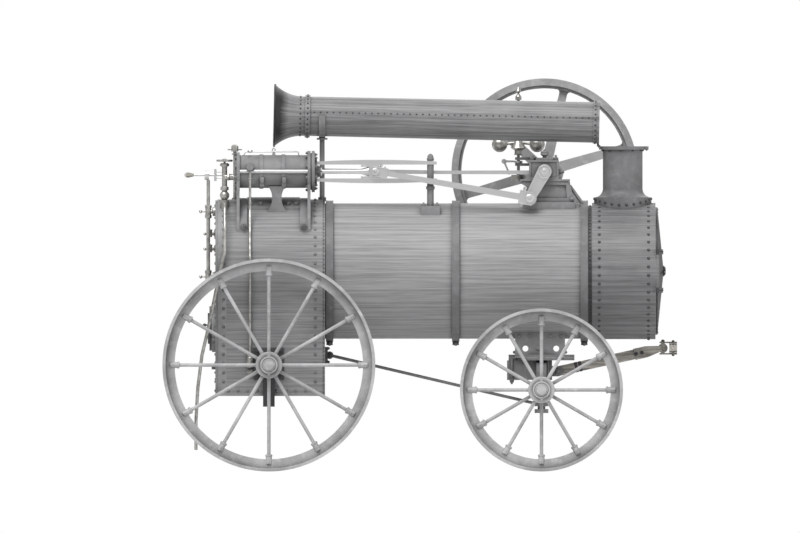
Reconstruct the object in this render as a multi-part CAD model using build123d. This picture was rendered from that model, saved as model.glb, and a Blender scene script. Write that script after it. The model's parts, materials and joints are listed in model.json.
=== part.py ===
from build123d import *
from math import acos, asin, atan2, cos, degrees, pi, radians, sin, sqrt
import os

# A portable steam engine, in millimetres. +X runs from the fire door towards the smokebox,
# -Y is the near side with the cylinder, +Z is up and the wheels stand at z = 0.

# fits
overrun = 5.0
seat = 0.3
running = 0.05
side_play = 1.0
rod_gap = 5.0
ball_flat_share = 0.2

# boiler
barrel_seat_z = 863.0
barrel_radius = 440.0
barrel_length = 1709.5
firebox_back_x = -1328.75
firebox_length = 713.0
firebox_proud = 26.0
firebox_bottom_z = 491.0
flange_width = 15.0
flange_step = 6.0
water_space = 72.0
crown_drop = 70.0
fire_hole_z = 930.0
fire_hole_width = 358.0
fire_hole_height = 268.0
fire_ring_width = 20.0
fire_ring_depth = 22.0
plug_radius = 19.0
plug_depth = 24.0
plug_y = -330.0
plug_drops = (85.0, 248.0)

# grate
grate_z = 560.0
grate_bar_width = 22.0
grate_bar_depth = 46.0
grate_bar_count = 13
bearer_width = 30.0

# bands round the barrel: distance of each from the firebox
band_width = 42.0
band_proud = 18.0
band_first_gap = 8.5
band_middle_gap = 143.42
band_last_gap = 3.5
band_ear_width = 46.0
band_ear_height = 24.0
band_bolt_radius = 8.0

# smokebox
neck_step = 15.0
neck_length = 26.0
smokebox_proud = 3.0
smokebox_length = 412.5
smokebox_wall = 8.0
flue_hole_radius = 150.0
tube_radius = 32.0
tube_depth = 30.0
tube_pitch = 92.0
tube_rows_share = (-2, -1, 0, 1, 2)
door_lap = 35.0
door_inset = 28.0
door_depth = 50.0
door_wall = 9.0
door_rim = 12.0
door_knob_radius = 30.0
door_knob_depth = 12.0
door_hinge_radius = 12.0
door_strap_width = 34.0
door_strap_depth = 9.0
door_strap_spread = 125.0

# fire door
fire_door_width = 380.0
fire_door_height = 290.0
fire_door_depth = 16.0
fire_hinge_radius = 11.0
fire_hinge_height = 200.0
fire_latch_radius = 11.0
fire_latch_reach = 32.0

# chimney base and the folding chimney
chimney_setback = 199.5
base_radius = 129.0
base_bore = 122.0
flare_radius = 58.0
brim_height = 16.0
brim_rise = 20.0
base_height = 368.0
base_flange_radius = 142.0
base_flange_depth = 22.0
hinge_reach = 12.0
chimney_hinge_radius = 7.0
chimney_knuckle_radius = 10.0
chimney_knuckle_width = 36.0
swing_bolt_reach = 26.0
swing_bolt_width = 30.0
chimney_tilt_angle = 1.24
chimney_overlap = 409.5
chimney_root_radius = 132.0
chimney_end_radius = 128.0
chimney_wall = 6.0
chimney_flange_depth = 14.0
chimney_band_radius = 137.0
chimney_band_width = 27.0
collar_setback = 237.0
collar_width = 32.0
collar_radius = 139.0
bell_setback = 181.0
bell_radius = 202.0
bell_bead_radius = 7.0

# crutch under the folded chimney
crutch_setback = 19.0
crutch_post_radius = 16.5
crutch_base_radius = 26.0
crutch_base_height = 14.0
crutch_collar_radius = 35.0
crutch_collar_height = 12.0
crutch_fork_width = 42.0
crutch_fork_depth = 9.0
crutch_gap = 1.5

# engine: the cylinder, the guides and the crankshaft share one level line
engine_rise = 207.0
engine_y = -205.0
shaft_setback = 282.5
stroke = 400.0
crosshead_setback = 476.0
crank_rest_angle = 241.0

# cylinder
cylinder_setback = 138.0
cylinder_length = 508.0
cylinder_radius = 107.0
rear_flange_depth = 21.0
rear_flange_radius = 125.0
front_flange_depth = 47.0
front_flange_radius = 134.0
front_flange_groove = 7.0
cover_depth = 15.0
cover_radius = 86.0
gland_depth = 24.0
gland_radius = 34.0
cylinder_band_width = 26.0
cylinder_band_proud = 5.0
cylinder_band_starts = (148.0, 292.0)
leg_depth = 20.0
leg_width = 216.0
leg_foot_width = 48.0
leg_foot_depth = 18.0
leg_reach = 391.0
leg_bolt_radius = 21.0
leg_bolt_depth = 14.0
bonnet_setback = 87.5
bonnet_rise = 28.0
bonnet_radius = 26.0
bonnet_depth = 44.0

# saddle between the legs
saddle_depth = 14.0
saddle_reach = 244.0
saddle_far_reach = 86.0
saddle_neck_setback = 262.0
saddle_neck_top = 60.0
saddle_neck_waist = 31.0
saddle_neck_foot = 68.0
saddle_neck_width = 120.0

# steam chest and lifting eye
chest_setback = 56.0
chest_length = 356.0
chest_far_y = 22.0
chest_drop = 82.0
chest_rise = 72.0
chest_gland_radius = 22.0
chest_gland_depth = 26.0
eye_setback = 242.0
eye_foot_width = 52.0
eye_depth = 14.0
eye_neck_rise = 128.0
eye_ring_rise = 140.0
eye_ring_radius = 13.0
eye_hole_radius = 6.0

# guide bars and the post that carries them
bar_end_setback = 793.0
bar_width = 50.0
bar_gap = 45.0
bar_end_depth = 20.0
bar_belly_depth = 31.0
post_setback = 41.0
post_radius = 22.0
post_pin_radius = 13.0
post_collar_radius = 28.0
post_collar_drop = 96.0
post_collar_height = 20.0
post_foot_length = 122.0
post_foot_width = 90.0
post_foot_depth = 34.0
finial_radius = 22.0
finial_height = 28.0

# crosshead and piston rod
crosshead_rear = 94.0
crosshead_front = 43.0
shoe_depth = 14.0
piston_rod_radius = 15.0
piston_rod_inset = 202.0
cross_boss_radius = 33.0
gudgeon_radius = 16.0

# connecting rod
rod_plane_depth = 36.0
rod_bar_depth = 26.0
rod_small_width = 34.0
rod_large_width = 42.0
rod_eye_front = 82.0
rod_eye_width = 66.0
rod_end_rear = 70.0
rod_end_width = 91.0
rod_cotter_width = 12.0
rod_cotter_depth = 118.0
crank_pin_radius = 24.0
pin_cap_radius = 31.0
pin_cap_depth = 10.0

# crankshaft and flywheel
shaft_radius = 32.0
shaft_far_reach = 240.0
web_far_y = -183.0
web_depth = 42.0
web_hub_radius = 46.0
web_pin_radius = 34.0
web_rib_depth = 8.0
web_rib_width = 14.0
flywheel_radius = 605.0
flywheel_rim_depth = 65.0
flywheel_rim_step = 20.0
flywheel_gap = 74.0
flywheel_width = 150.0
flywheel_arm_count = 6
flywheel_arm_angle = 16.5
flywheel_arm_root = 74.0
flywheel_arm_tip = 52.0
flywheel_arm_depth = 46.0
flywheel_arm_fillet = 24.0
flywheel_hub_radius = 84.0

# eccentric and valve rod
eccentric_y = -62.0
eccentric_throw = 35.0
eccentric_angle = 351.0
sheave_radius = 74.0
sheave_width = 22.0
strap_depth = 15.0
strap_width = 26.0
valve_knuckle_setback = 524.0
eccentric_rod_width = 26.0
eccentric_rod_depth = 12.0
knuckle_radius = 20.0
knuckle_pin_radius = 9.0
valve_rod_y = -42.0
valve_rod_radius = 7.0
valve_rod_inner = 60.0

# pedestals: near and far edges of each across the boiler
near_pedestal_ys = (-160.0, -85.0)
far_pedestal_ys = (205.0, 285.0)
pedestal_left = 162.0
pedestal_right = 165.0
pedestal_foot_left = 120.0
pedestal_foot_right = 198.0
plinth_top_drop = 50.0
plinth_lip = 24.0
pedestal_slope_drop = 216.0
pedestal_foot_ledge = 18.0
block_left = 101.0
block_right = 92.0
block_top_rise = 74.0
cap_left = 56.0
cap_right = 46.0
cap_rise = 16.0
panel_inset = 26.0
panel_depth = 14.0
brass_radius = 52.0
brass_depth = 8.0
oil_cup_radius = 26.0
oil_cup_height = 34.0

# governor
governor_setback = 170.0
governor_y = 338.0
governor_ball_radius = 50.0
governor_ball_reach = 122.0
governor_ball_rise = 175.0
governor_arm_radius = 9.0
governor_head_rise = 107.0
governor_head_radius = 50.0
governor_head_height = 91.0
governor_spindle_radius = 10.0
governor_spindle_drop = 62.0
governor_finial_rise = 465.0
governor_finial_height = 86.0
governor_finial_radius = 20.0
governor_pulley_radius = 46.0
governor_pulley_height = 40.0
governor_bracket_width = 44.0
governor_plate_setback = 70.0
governor_bracket_rises = (36.0, 75.0)
governor_bracket_height = 18.0
governor_plate_width = 44.0

# fittings on the back plate and on top; a fitting's line is the engine's own line
valve_setback = 60.0
valve_pipe_radius = 17.0
valve_globe_radius = 31.0
valve_globe_drop = 156.0
valve_foot_radius = 30.0
valve_flange_radius = 27.0
valve_flange_drop = 120.0
valve_flange_depth = 19.0
valve_collar_rise = 35.0
valve_collar_height = 16.0
valve_spindle_radius = 7.0
valve_wheel_rise = 64.0
valve_wheel_radius = 51.0
valve_wheel_depth = 13.0
coupling_drop = 36.0
coupling_radius = 20.0
regulator_drop = 23.0
regulator_reach = 201.5
regulator_handle_length = 62.0
regulator_handle_radius = 16.0
regulator_rod_radius = 7.0
regulator_boss_reach = 70.0
regulator_boss_length = 28.0
regulator_boss_radius = 32.0
regulator_link_width = 16.0
regulator_link_spread = 39.0
safety_setback = 127.0
safety_post_radius = 11.0
safety_ring_radius = 20.0
safety_ring_rise = 108.0
safety_ring_height = 10.0
safety_body_radius = 23.0
safety_body_rise = 130.0
safety_body_height = 45.0
safety_wing_span = 94.0
safety_wing_width = 16.0
safety_wing_height = 8.0
safety_wing_rise = 138.0
gauge_reach = 46.0
gauge_top_drop = 79.0
gauge_height = 424.0
gauge_glass_radius = 12.0
gauge_pipe_radius = 11.0
gauge_cock_radius = 19.0
gauge_cock_height = 76.0
gauge_arm_radius = 13.0
gauge_knob_radius = 11.0
gauge_knob_reach = 30.0
cock_y = -70.0
cock_rises = (241.0, 143.0)
cock_radius = 10.0
cock_reach = 34.0
cock_plug_radius = 13.0
cock_plug_height = 42.0
feed_pipe_radius = 8.0
feed_check_z = 718.0
feed_check_radius = 22.0
feed_check_height = 74.0
feed_bend_radius = 60.0
feed_pipe_lean = 24.0
suction_radius = 11.0
suction_bend_radius = 90.0

# route of the suction pipe: out from the steam valve's foot, then down beside the firebox
suction_start = (
    # X from the back plate, Y out from the engine's line, Z under it
    (62.0, 30.3, 212.0),
    (62.0, 145.0, 212.0))
suction_side = (
    # X from the back plate, Y out from the firebox's side, Z over the boiler's line
    (62.0, -10.0, 297.0),
    (60.0, 34.0, 117.0),
    (37.0, 36.0, 20.0),
    (8.0, 36.0, -110.0),
    (-16.0, 36.0, -228.0),
    (-51.0, 36.0, -394.0),
    (-87.0, 36.0, -546.0),
    (-114.0, 36.0, -760.0),
    (-126.0, 36.0, -975.0),
    (-126.0, 36.0, -1163.0))
suction_clip_drop = 53.0
suction_clip_width = 22.0

# hind axle and wheels
hind_setback = 348.0
hind_radius = 692.0
hind_gap = 89.0
hind_width = 130.0
axle_radius = 32.0
axle_reach = 256.0
axle_arm_width = 76.0
axle_arm_depth = 36.0
axle_arm_rise = 60.0
axle_beam_depth = 70.0

# front axle and wheels
front_setback = 302.5
front_radius = 530.0
front_gap = 94.0
front_width = 110.0
front_axle_radius = 28.0

# what the wheels have in common
tyre_depth = 20.0
web_ring_width = 16.0
web_ring_depth = 60.0
spoke_count = 12
spoke_radius = 11.5
spoke_angle = 90.0
spoke_stagger = 26.0
socket_radius = 20.0
socket_length = 60.0
hub_radius = 84.0
hub_barrel_radius = 62.0
hub_nose_radius = 52.0
hub_cap_radius = 32.0
hub_gap = 72.0
hub_reach = 279.0
hub_cap_depth = 16.0

# fore-carriage: bracket under the boiler, turntable, bolster, axle
bracket_left = 172.0
bracket_right = 153.0
bracket_half_width = 190.0
bracket_plate = 22.0
bracket_base_z = 740.0
bracket_base_depth = 20.0
bracket_hole_radius = 19.0
bracket_hole_rise = 59.0
bracket_hole_xs = (-104.5, 96.0)
turntable_radius = 214.0
turntable_depth = 17.0
turntable_gap = 0.5
bolster_left = 224.0
bolster_right = 69.0
bolster_half_width = 150.0
bolster_bottom_z = 595.0
bed_width = 66.0
bed_reach = 34.0
bed_end_depth = 46.0
bed_crown_y = 150.0
front_axle_width = 60.0
king_radius = 22.0
king_bottom_z = 380.0
king_nut_radius = 45.0
king_nut_height = 26.0
king_plate_z = 424.0
king_plate_height = 28.0
king_play = 0.06

# stay rod
stay_radius = 10.0
stay_hole_reach = 30.0
stay_hole_z = 756.0
stay_eye_radius = 25.0
stay_eye_width = 24.0
stay_bracket_width = 22.0
stay_bracket_height = 108.0
stay_bracket_depth = 18.0

# drawbar and swingletree
draw_pin_reach = 106.0
draw_pin_z = 652.0
draw_pin_radius = 12.0
draw_depth = 64.0
draw_width = 60.0
draw_lug_width = 14.0
draw_lug_radius = 34.0
draw_iron_reach = 107.0
draw_band_length = 79.0
draw_band_proud = 5.0
draw_eye_reach = 683.0
draw_eye_z = 802.0
draw_eye_radius = 31.0
draw_eye_hole = 12.0
draw_eye_depth = 26.0
swingletree_reach = 41.0
swingletree_depth = 51.5
swingletree_half_length = 420.0
swingletree_end_width = 36.0
swingletree_height = 65.0
swingletree_clip_depth = 10.0
trace_hole_radius = 9.0
trace_hole_inset = 32.0

# places that follow from the sizes above: the boiler
boiler_z = barrel_radius + barrel_seat_z
firebox_radius = barrel_radius + firebox_proud
neck_radius = barrel_radius - neck_step
smokebox_radius = barrel_radius + smokebox_proud
door_radius = smokebox_radius - door_inset
door_hole_radius = door_radius - door_lap
firebox_front_x = firebox_back_x + firebox_length
barrel_end_x = firebox_front_x + barrel_length
smokebox_back_x = barrel_end_x + neck_length
smokebox_front_x = smokebox_back_x + smokebox_length
furnace_half_width = firebox_radius - water_space
crown_z = boiler_z - crown_drop

# the chimney and its base
chimney_x = smokebox_back_x + chimney_setback
base_top_z = boiler_z + smokebox_radius + base_height
brim_z = boiler_z + smokebox_radius + brim_rise
chimney_length = barrel_length + chimney_overlap
collar_start = chimney_length - collar_setback
bell_start = chimney_length - bell_setback
chimney_hinge_x = chimney_x - base_flange_radius - hinge_reach
chimney_fold_angle = 90 - chimney_tilt_angle
crutch_x = firebox_front_x - crutch_setback

# the engine: its line, the shaft and what stands with them
engine_z = boiler_z + barrel_radius + engine_rise
shaft_x = barrel_end_x - shaft_setback
cylinder_start_x = firebox_back_x + cylinder_setback
cylinder_end_x = cylinder_start_x + cylinder_length
cover_end_x = cylinder_end_x + cover_depth
bonnet_x = cylinder_start_x + bonnet_setback
bonnet_z = engine_z + bonnet_rise
saddle_neck_x = cylinder_start_x + saddle_neck_setback
chest_start_x = cylinder_start_x + chest_setback
chest_bottom_z = engine_z - chest_drop
chest_top_z = engine_z + chest_rise
eye_x = cylinder_start_x + eye_setback
eye_neck_z = engine_z + eye_neck_rise
eye_ring_z = engine_z + eye_ring_rise
bar_end_x = cylinder_end_x + bar_end_setback
post_x = bar_end_x - post_setback
piston_rod_end_x = cylinder_start_x + piston_rod_inset
band_starts = (band_first_gap, post_x - firebox_front_x + band_middle_gap,
               barrel_length - band_width - band_last_gap)
crank_throw = stroke / 2
rod_length = shaft_x - cylinder_end_x - crosshead_setback
eccentric_rod_length = shaft_x - chest_start_x - chest_length - valve_knuckle_setback
crank_pin_x = shaft_x + crank_throw * cos(radians(crank_rest_angle))
crank_pin_z = engine_z + crank_throw * sin(radians(crank_rest_angle))
rod_drop_angle = degrees(asin((engine_z - crank_pin_z) / rod_length))
gudgeon_x = crank_pin_x - rod_length * cos(radians(rod_drop_angle))
rod_near_y = engine_y - bar_width / 2 - rod_gap - rod_plane_depth
eccentric_x = shaft_x + eccentric_throw * cos(radians(eccentric_angle))
eccentric_z = engine_z + eccentric_throw * sin(radians(eccentric_angle))
shaft_far_y = firebox_radius + shaft_far_reach
flywheel_near_y = firebox_radius + flywheel_gap
governor_x = shaft_x - governor_setback
governor_plate_x = governor_x + governor_plate_setback
governor_ball_z = engine_z + governor_ball_rise
governor_head_bottom_z = engine_z + governor_head_rise
governor_spindle_bottom_z = engine_z - governor_spindle_drop
governor_finial_z = engine_z + governor_finial_rise
governor_bracket_zs = tuple(engine_z + rise for rise in governor_bracket_rises)

# the fittings
valve_x = firebox_back_x + valve_setback
valve_globe_z = engine_z - valve_globe_drop
valve_flange_z = engine_z - valve_flange_drop
valve_collar_z = engine_z + valve_collar_rise
valve_wheel_z = engine_z + valve_wheel_rise
coupling_z = engine_z - coupling_drop
regulator_z = engine_z - regulator_drop
regulator_tip_x = firebox_back_x - regulator_reach
regulator_boss_x = firebox_back_x - regulator_boss_reach
safety_x = firebox_back_x + safety_setback
safety_ring_z = engine_z + safety_ring_rise
safety_body_z = engine_z + safety_body_rise
safety_wing_z = engine_z + safety_wing_rise
gauge_x = firebox_back_x - gauge_reach
gauge_top_z = boiler_z + firebox_radius - gauge_top_drop
gauge_bottom_z = gauge_top_z - gauge_height
cock_zs = tuple(boiler_z + rise for rise in cock_rises)
feed_pipe_x = bonnet_x
suction_clip_z = boiler_z - suction_clip_drop
suction_route = [
    *((firebox_back_x + x, engine_y - out, engine_z - drop) for x, out, drop in suction_start),
    *((firebox_back_x + x, -firebox_radius - out, boiler_z + rise)
      for x, out, rise in suction_side)]

# the carriage
hind_x = firebox_back_x + hind_setback
hind_near_y = firebox_radius + hind_gap
axle_end_y = firebox_radius + axle_reach
front_x = barrel_end_x - front_setback
front_near_y = firebox_radius + front_gap
hub_near_y = firebox_radius + hub_gap
hub_end_y = firebox_radius + hub_reach
bed_end_y = firebox_radius + bed_reach
turntable_z = bracket_base_z - turntable_gap
stay_hole_x = firebox_front_x + stay_hole_reach
draw_pin_x = front_x + draw_pin_reach
draw_eye_x = draw_pin_x + draw_eye_reach
draw_wood_end_x = draw_eye_x - draw_iron_reach
swingletree_near_x = draw_eye_x + swingletree_reach
swingletree_far_x = swingletree_near_x + swingletree_depth
draw_angle = degrees(atan2(draw_eye_z - draw_pin_z, draw_eye_x - draw_pin_x))
draw_length = sqrt((draw_eye_x - draw_pin_x) ** 2 + (draw_eye_z - draw_pin_z) ** 2)


def block(x0, x1, y0, y1, z0, z1):
    """Square-cornered block between two places on each axis."""
    return Pos((x0 + x1) / 2, (y0 + y1) / 2, (z0 + z1) / 2) * Box(x1 - x0, y1 - y0, z1 - z0)


def bar(start, end, radius, end_radius=None):
    """Round bar from one point to another, tapered where an end radius is given."""
    way = Vector(*end) - Vector(*start)
    if end_radius is None:
        round_bar = Cylinder(radius, way.length)
    else:
        round_bar = Cone(radius, end_radius, way.length)
    return Plane(origin=start, z_dir=way) * Pos(0, 0, way.length / 2) * round_bar


def turned(origin, way, profile, bore=0):
    """Round piece about an axis; its profile gives (distance along the axis, radius)."""
    corners = [(radius, along) for along, radius in profile]
    corners = [(bore, corners[0][1]), *corners, (bore, corners[-1][1])]
    solid = revolve(Plane.XZ * make_face(Polyline(*corners, close=True)), Axis.Z)
    return Plane(origin=origin, z_dir=way) * solid


def ball(centre, radius):
    """Ball with a small turning flat above and below."""
    flat = radius * ball_flat_share
    rise = sqrt(radius ** 2 - flat ** 2)
    side = ThreePointArc((flat, -rise), (radius, 0), (flat, rise))
    core = Polyline((flat, rise), (0, rise), (0, -rise), (flat, -rise))
    return Pos(*centre) * revolve(Plane.XZ * make_face([side, core]), Axis.Z)


def outline(*points):
    """Face inside straight edges from point to point."""
    return make_face(Polyline(*points, close=True))


def plate_x(face, x0, x1):
    """Plate of a face drawn in Y and Z."""
    return Pos(x0, 0, 0) * extrude(Plane.YZ * face, amount=x1 - x0)


def plate_y(face, y0, y1):
    """Plate of a face drawn in X and Z."""
    return Pos(0, y1, 0) * extrude(Plane.XZ * face, amount=y1 - y0)


def plate_z(face, z0, z1):
    """Plate of a face drawn in X and Y."""
    return Pos(0, 0, z0) * extrude(face, amount=z1 - z0)


def drum(radius, x0, x1):
    """Cylinder about the boiler's axis."""
    return bar((x0, 0, boiler_z), (x1, 0, boiler_z), radius)


def shell_y(radius, z):
    """Half width of the round boiler top at a height."""
    return sqrt(radius ** 2 - (z - boiler_z) ** 2)


def shell_z(radius, y):
    """Height of the round boiler top at a distance from the middle."""
    return boiler_z + sqrt(radius ** 2 - y ** 2)


def wrapper_face(radius, bottom_z):
    """Section of the firebox: a half round over straight sides."""
    sides = Pos(0, (boiler_z + bottom_z) / 2) * Rectangle(2 * radius, boiler_z - bottom_z)
    return Pos(0, boiler_z) * Circle(radius) + sides


def wrapper(radius, x0, x1):
    """Solid of the firebox shell's outside, to trim what lies on it."""
    return plate_x(wrapper_face(radius, firebox_bottom_z), x0, x1)


def firebox():
    """The arched shell and front plate round the furnace, open at the back for the back plate."""
    inner_front_x = firebox_front_x - water_space
    start_x = firebox_back_x + water_space
    shell = wrapper(firebox_radius, start_x, firebox_front_x - flange_width)
    shell += wrapper(firebox_radius - flange_step, start_x, firebox_front_x)
    furnace = outline(
        (-furnace_half_width, firebox_bottom_z - overrun),
        (furnace_half_width, firebox_bottom_z - overrun),
        (furnace_half_width, crown_z),
        (-furnace_half_width, crown_z),
    )
    return shell - plate_x(fillet(furnace.vertices().group_by(Axis.Y)[-1], water_space),
                           start_x - overrun, inner_front_x)


def fire_hole_face(lip=0.0):
    """Oval face of the fire hole, widened by a lip."""
    return Pos(0, fire_hole_z) * Ellipse(fire_hole_width / 2 + lip, fire_hole_height / 2 + lip)


def back_plate():
    """The firebox's back with the fire hole and two plugs."""
    end_x = firebox_back_x + water_space
    plate = wrapper(firebox_radius, firebox_back_x + flange_width, end_x)
    plate += wrapper(firebox_radius - flange_step, firebox_back_x, end_x)
    plate -= plate_x(fire_hole_face(), firebox_back_x - overrun, end_x + overrun)
    for drop in plug_drops:
        plug_z = fire_hole_z - drop
        plate += bar((firebox_back_x - plug_depth, plug_y, plug_z),
                     (firebox_back_x, plug_y, plug_z), plug_radius)
    return plate


def fire_hole_ring():
    """Raised oval ring round the fire hole, which the fire door closes on."""
    return plate_x(fire_hole_face(fire_ring_width) - fire_hole_face(),
                   firebox_back_x - fire_ring_depth, firebox_back_x)


def grate():
    start_x = firebox_back_x + water_space + seat
    end_x = firebox_front_x - water_space - seat
    half_width = furnace_half_width - seat
    pitch = 2 * half_width / grate_bar_count
    bars = Part()
    for number in range(grate_bar_count):
        middle_y = (number + 1 / 2) * pitch - half_width
        bars += block(start_x, end_x, middle_y - grate_bar_width / 2, middle_y + grate_bar_width / 2,
                      grate_z, grate_z + grate_bar_depth)
    for x in (start_x, end_x - bearer_width):
        bars += block(x, x + bearer_width, -half_width, half_width, grate_z - bearer_width, grate_z)
    return bars


def barrel():
    return drum(barrel_radius, firebox_front_x, barrel_end_x)


def barrel_bands():
    """Three flat bands, each closed below by two ears and a bolt."""
    bands = []
    low_z = boiler_z - barrel_radius - band_proud
    for start in band_starts:
        x0 = firebox_front_x + start
        x1 = x0 + band_width
        band = drum(barrel_radius + band_proud, x0, x1)
        band += block(x0, x1, -band_ear_width / 2, band_ear_width / 2,
                      low_z - band_ear_height, boiler_z - barrel_radius)
        band -= drum(barrel_radius + seat, x0 - overrun, x1 + overrun)
        band -= block(x0 - overrun, x1 + overrun, -band_bolt_radius, band_bolt_radius,
                      low_z - band_ear_height - overrun, boiler_z - barrel_radius + overrun)
        middle = ((x0 + x1) / 2, 0, low_z - band_ear_height / 2)
        band += Pos(*middle) * Rot(90, 0, 0) * Cylinder(band_bolt_radius, 2 * band_ear_width)
        bands.append(band)
    return Compound(children=bands)


def tube_plate():
    """Closed back of the smokebox with the tubes' open ends, and the neck behind it."""
    plate_x1 = smokebox_back_x + smokebox_wall
    plate = drum(neck_radius, barrel_end_x, smokebox_back_x)
    plate += drum(smokebox_radius - smokebox_wall, smokebox_back_x, plate_x1)
    for row in tube_rows_share:
        for column in tube_rows_share:
            y, z = column * tube_pitch, boiler_z + row * tube_pitch
            plate -= bar((plate_x1 - tube_depth, y, z), (plate_x1 + overrun, y, z), tube_radius)
    return plate


def smokebox():
    shell = drum(smokebox_radius, smokebox_back_x, smokebox_front_x - smokebox_wall)
    shell -= drum(smokebox_radius - smokebox_wall, smokebox_back_x - overrun, smokebox_front_x)
    return shell - bar((chimney_x, 0, boiler_z), (chimney_x, 0, base_top_z), flue_hole_radius)


def smokebox_front():
    """Ring plate round the door hole with the post and pin that the door turns on."""
    plate = drum(smokebox_radius, smokebox_front_x - smokebox_wall, smokebox_front_x)
    plate -= drum(door_hole_radius, smokebox_front_x - 2 * smokebox_wall, smokebox_front_x + overrun)
    hinge_y = -smokebox_radius + door_hinge_radius
    hinge_x = smokebox_front_x + door_hinge_radius + side_play
    half_strap = door_strap_width / 2 + side_play
    middle_top = boiler_z + door_strap_spread - half_strap
    middle_bottom = boiler_z - door_strap_spread + half_strap
    post = bar((hinge_x, hinge_y, middle_bottom), (hinge_x, hinge_y, middle_top), door_hinge_radius)
    foot = block(smokebox_front_x, hinge_x, hinge_y - door_hinge_radius, hinge_y + door_hinge_radius,
                 middle_bottom, middle_top) & drum(smokebox_radius, smokebox_front_x, hinge_x)
    pin = bar((hinge_x, hinge_y, middle_bottom - door_strap_width - 2 * side_play),
              (hinge_x, hinge_y, middle_top + door_strap_width + 2 * side_play), door_hinge_radius / 2)
    return plate + post + foot + pin


def cone_dish(radius, rise, wall=None):
    """The smokebox door's dished plate, or the solid under it where no wall is given."""
    origin = (smokebox_front_x + seat, 0, boiler_z)
    solid = turned(origin, (1, 0, 0), [(0, radius), (door_rim + rise, radius),
                                       (door_depth + rise, door_knob_radius)])
    if wall:
        solid -= turned((origin[0] - overrun, 0, boiler_z), (1, 0, 0), [
            (0, radius - wall), (overrun + door_rim - wall, radius - wall),
            (overrun + door_depth - wall, door_knob_radius)])
    return solid


def smokebox_door():
    dish = cone_dish(door_radius, 0, door_wall)
    knob_start = smokebox_front_x + door_depth
    dish += bar((knob_start - door_wall / 2, 0, boiler_z),
                (knob_start + door_knob_depth, 0, boiler_z), door_knob_radius)
    hinge_y = -smokebox_radius + door_hinge_radius
    hinge_x = smokebox_front_x + door_hinge_radius + side_play
    under = cone_dish(door_radius, 0)
    for z in (boiler_z - door_strap_spread, boiler_z + door_strap_spread):
        z0, z1 = z - door_strap_width / 2, z + door_strap_width / 2
        strap = block(smokebox_front_x + side_play, smokebox_front_x + door_depth + door_strap_depth,
                      -door_radius, -door_knob_radius, z0, z1)
        strap &= cone_dish(door_radius, door_strap_depth)
        strap -= under
        ear = block(hinge_x, hinge_x + door_hinge_radius, hinge_y,
                    door_knob_radius - shell_y(door_radius, z1), z0, z1) - under
        knuckle = bar((hinge_x, hinge_y, z0), (hinge_x, hinge_y, z1), door_hinge_radius)
        knuckle -= bar((hinge_x, hinge_y, z0 - overrun), (hinge_x, hinge_y, z1 + overrun),
                       door_hinge_radius / 2 + running)
        dish += strap + (ear - bar((hinge_x, hinge_y, z0 - overrun), (hinge_x, hinge_y, z1 + overrun),
                                   door_hinge_radius / 2 + running)) + knuckle
    return dish


def fire_door():
    back_x = firebox_back_x - fire_ring_depth - seat
    face_x = back_x - fire_door_depth
    door = plate_x(Pos(0, fire_hole_z) * Ellipse(fire_door_width / 2, fire_door_height / 2),
                   face_x, back_x)
    hinge_y = fire_door_width / 2 + fire_hinge_radius
    z0, z1 = fire_hole_z - fire_hinge_height / 4, fire_hole_z + fire_hinge_height / 4
    pin_x = face_x
    door += block(face_x - fire_latch_radius, face_x, 0, hinge_y, z0, z1)
    door += bar((pin_x, hinge_y, z0), (pin_x, hinge_y, z1), fire_hinge_radius)
    door -= bar((pin_x, hinge_y, z0 - overrun), (pin_x, hinge_y, z1 + overrun),
                fire_hinge_radius / 2 + running)
    latch_z = fire_hole_z + 2 * fire_latch_radius
    latch_y = -fire_door_width / 2 + 2 * fire_latch_reach
    door += bar((face_x, latch_y, latch_z), (face_x - fire_latch_reach, latch_y, latch_z),
                fire_latch_radius / 2)
    door += ball((face_x - fire_latch_reach, latch_y, latch_z), fire_latch_radius)
    return door


def fire_door_hinge():
    """Pin in two brackets on the back plate, beside the fire hole."""
    face_x = firebox_back_x - fire_ring_depth - seat - fire_door_depth
    hinge_y = fire_door_width / 2 + fire_hinge_radius
    low, high = fire_hole_z - fire_hinge_height / 2, fire_hole_z + fire_hinge_height / 2
    hinge = bar((face_x, hinge_y, low), (face_x, hinge_y, high), fire_hinge_radius / 2)
    gap = fire_hinge_height / 4 - side_play
    for z0, z1 in ((low, low + gap), (high - gap, high)):
        hinge += bar((face_x, hinge_y, z0), (face_x, hinge_y, z1), fire_hinge_radius)
        hinge += block(face_x, firebox_back_x, hinge_y - fire_hinge_radius,
                       hinge_y + fire_hinge_radius, z0, z1)
    return hinge


def flare_top_z():
    """Height where the saddle's flare ends and the plain neck begins."""
    return brim_z + brim_height + flare_radius


def chimney_base():
    """Flared saddle on the smokebox, hollow under its brim."""
    flare_z = brim_z + brim_height
    top_z = flare_top_z()
    brim_radius = base_radius + flare_radius
    low_z = shell_z(smokebox_radius, brim_radius) - overrun
    middle_drop = flare_radius * sin(pi / 4)
    flare = ThreePointArc((brim_radius, flare_z), (brim_radius - middle_drop, top_z - middle_drop),
                          (base_radius, top_z))
    hollow = Polyline((base_radius, top_z), (base_bore, top_z), (base_bore, flare_z),
                      (flue_hole_radius, flare_z), (flue_hole_radius, low_z), (brim_radius, low_z),
                      (brim_radius, flare_z))
    saddle = Pos(chimney_x, 0, 0) * revolve(Plane.XZ * make_face([flare, hollow]), Axis.Z)
    return saddle - drum(smokebox_radius + seat, smokebox_back_x, smokebox_front_x)


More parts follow.
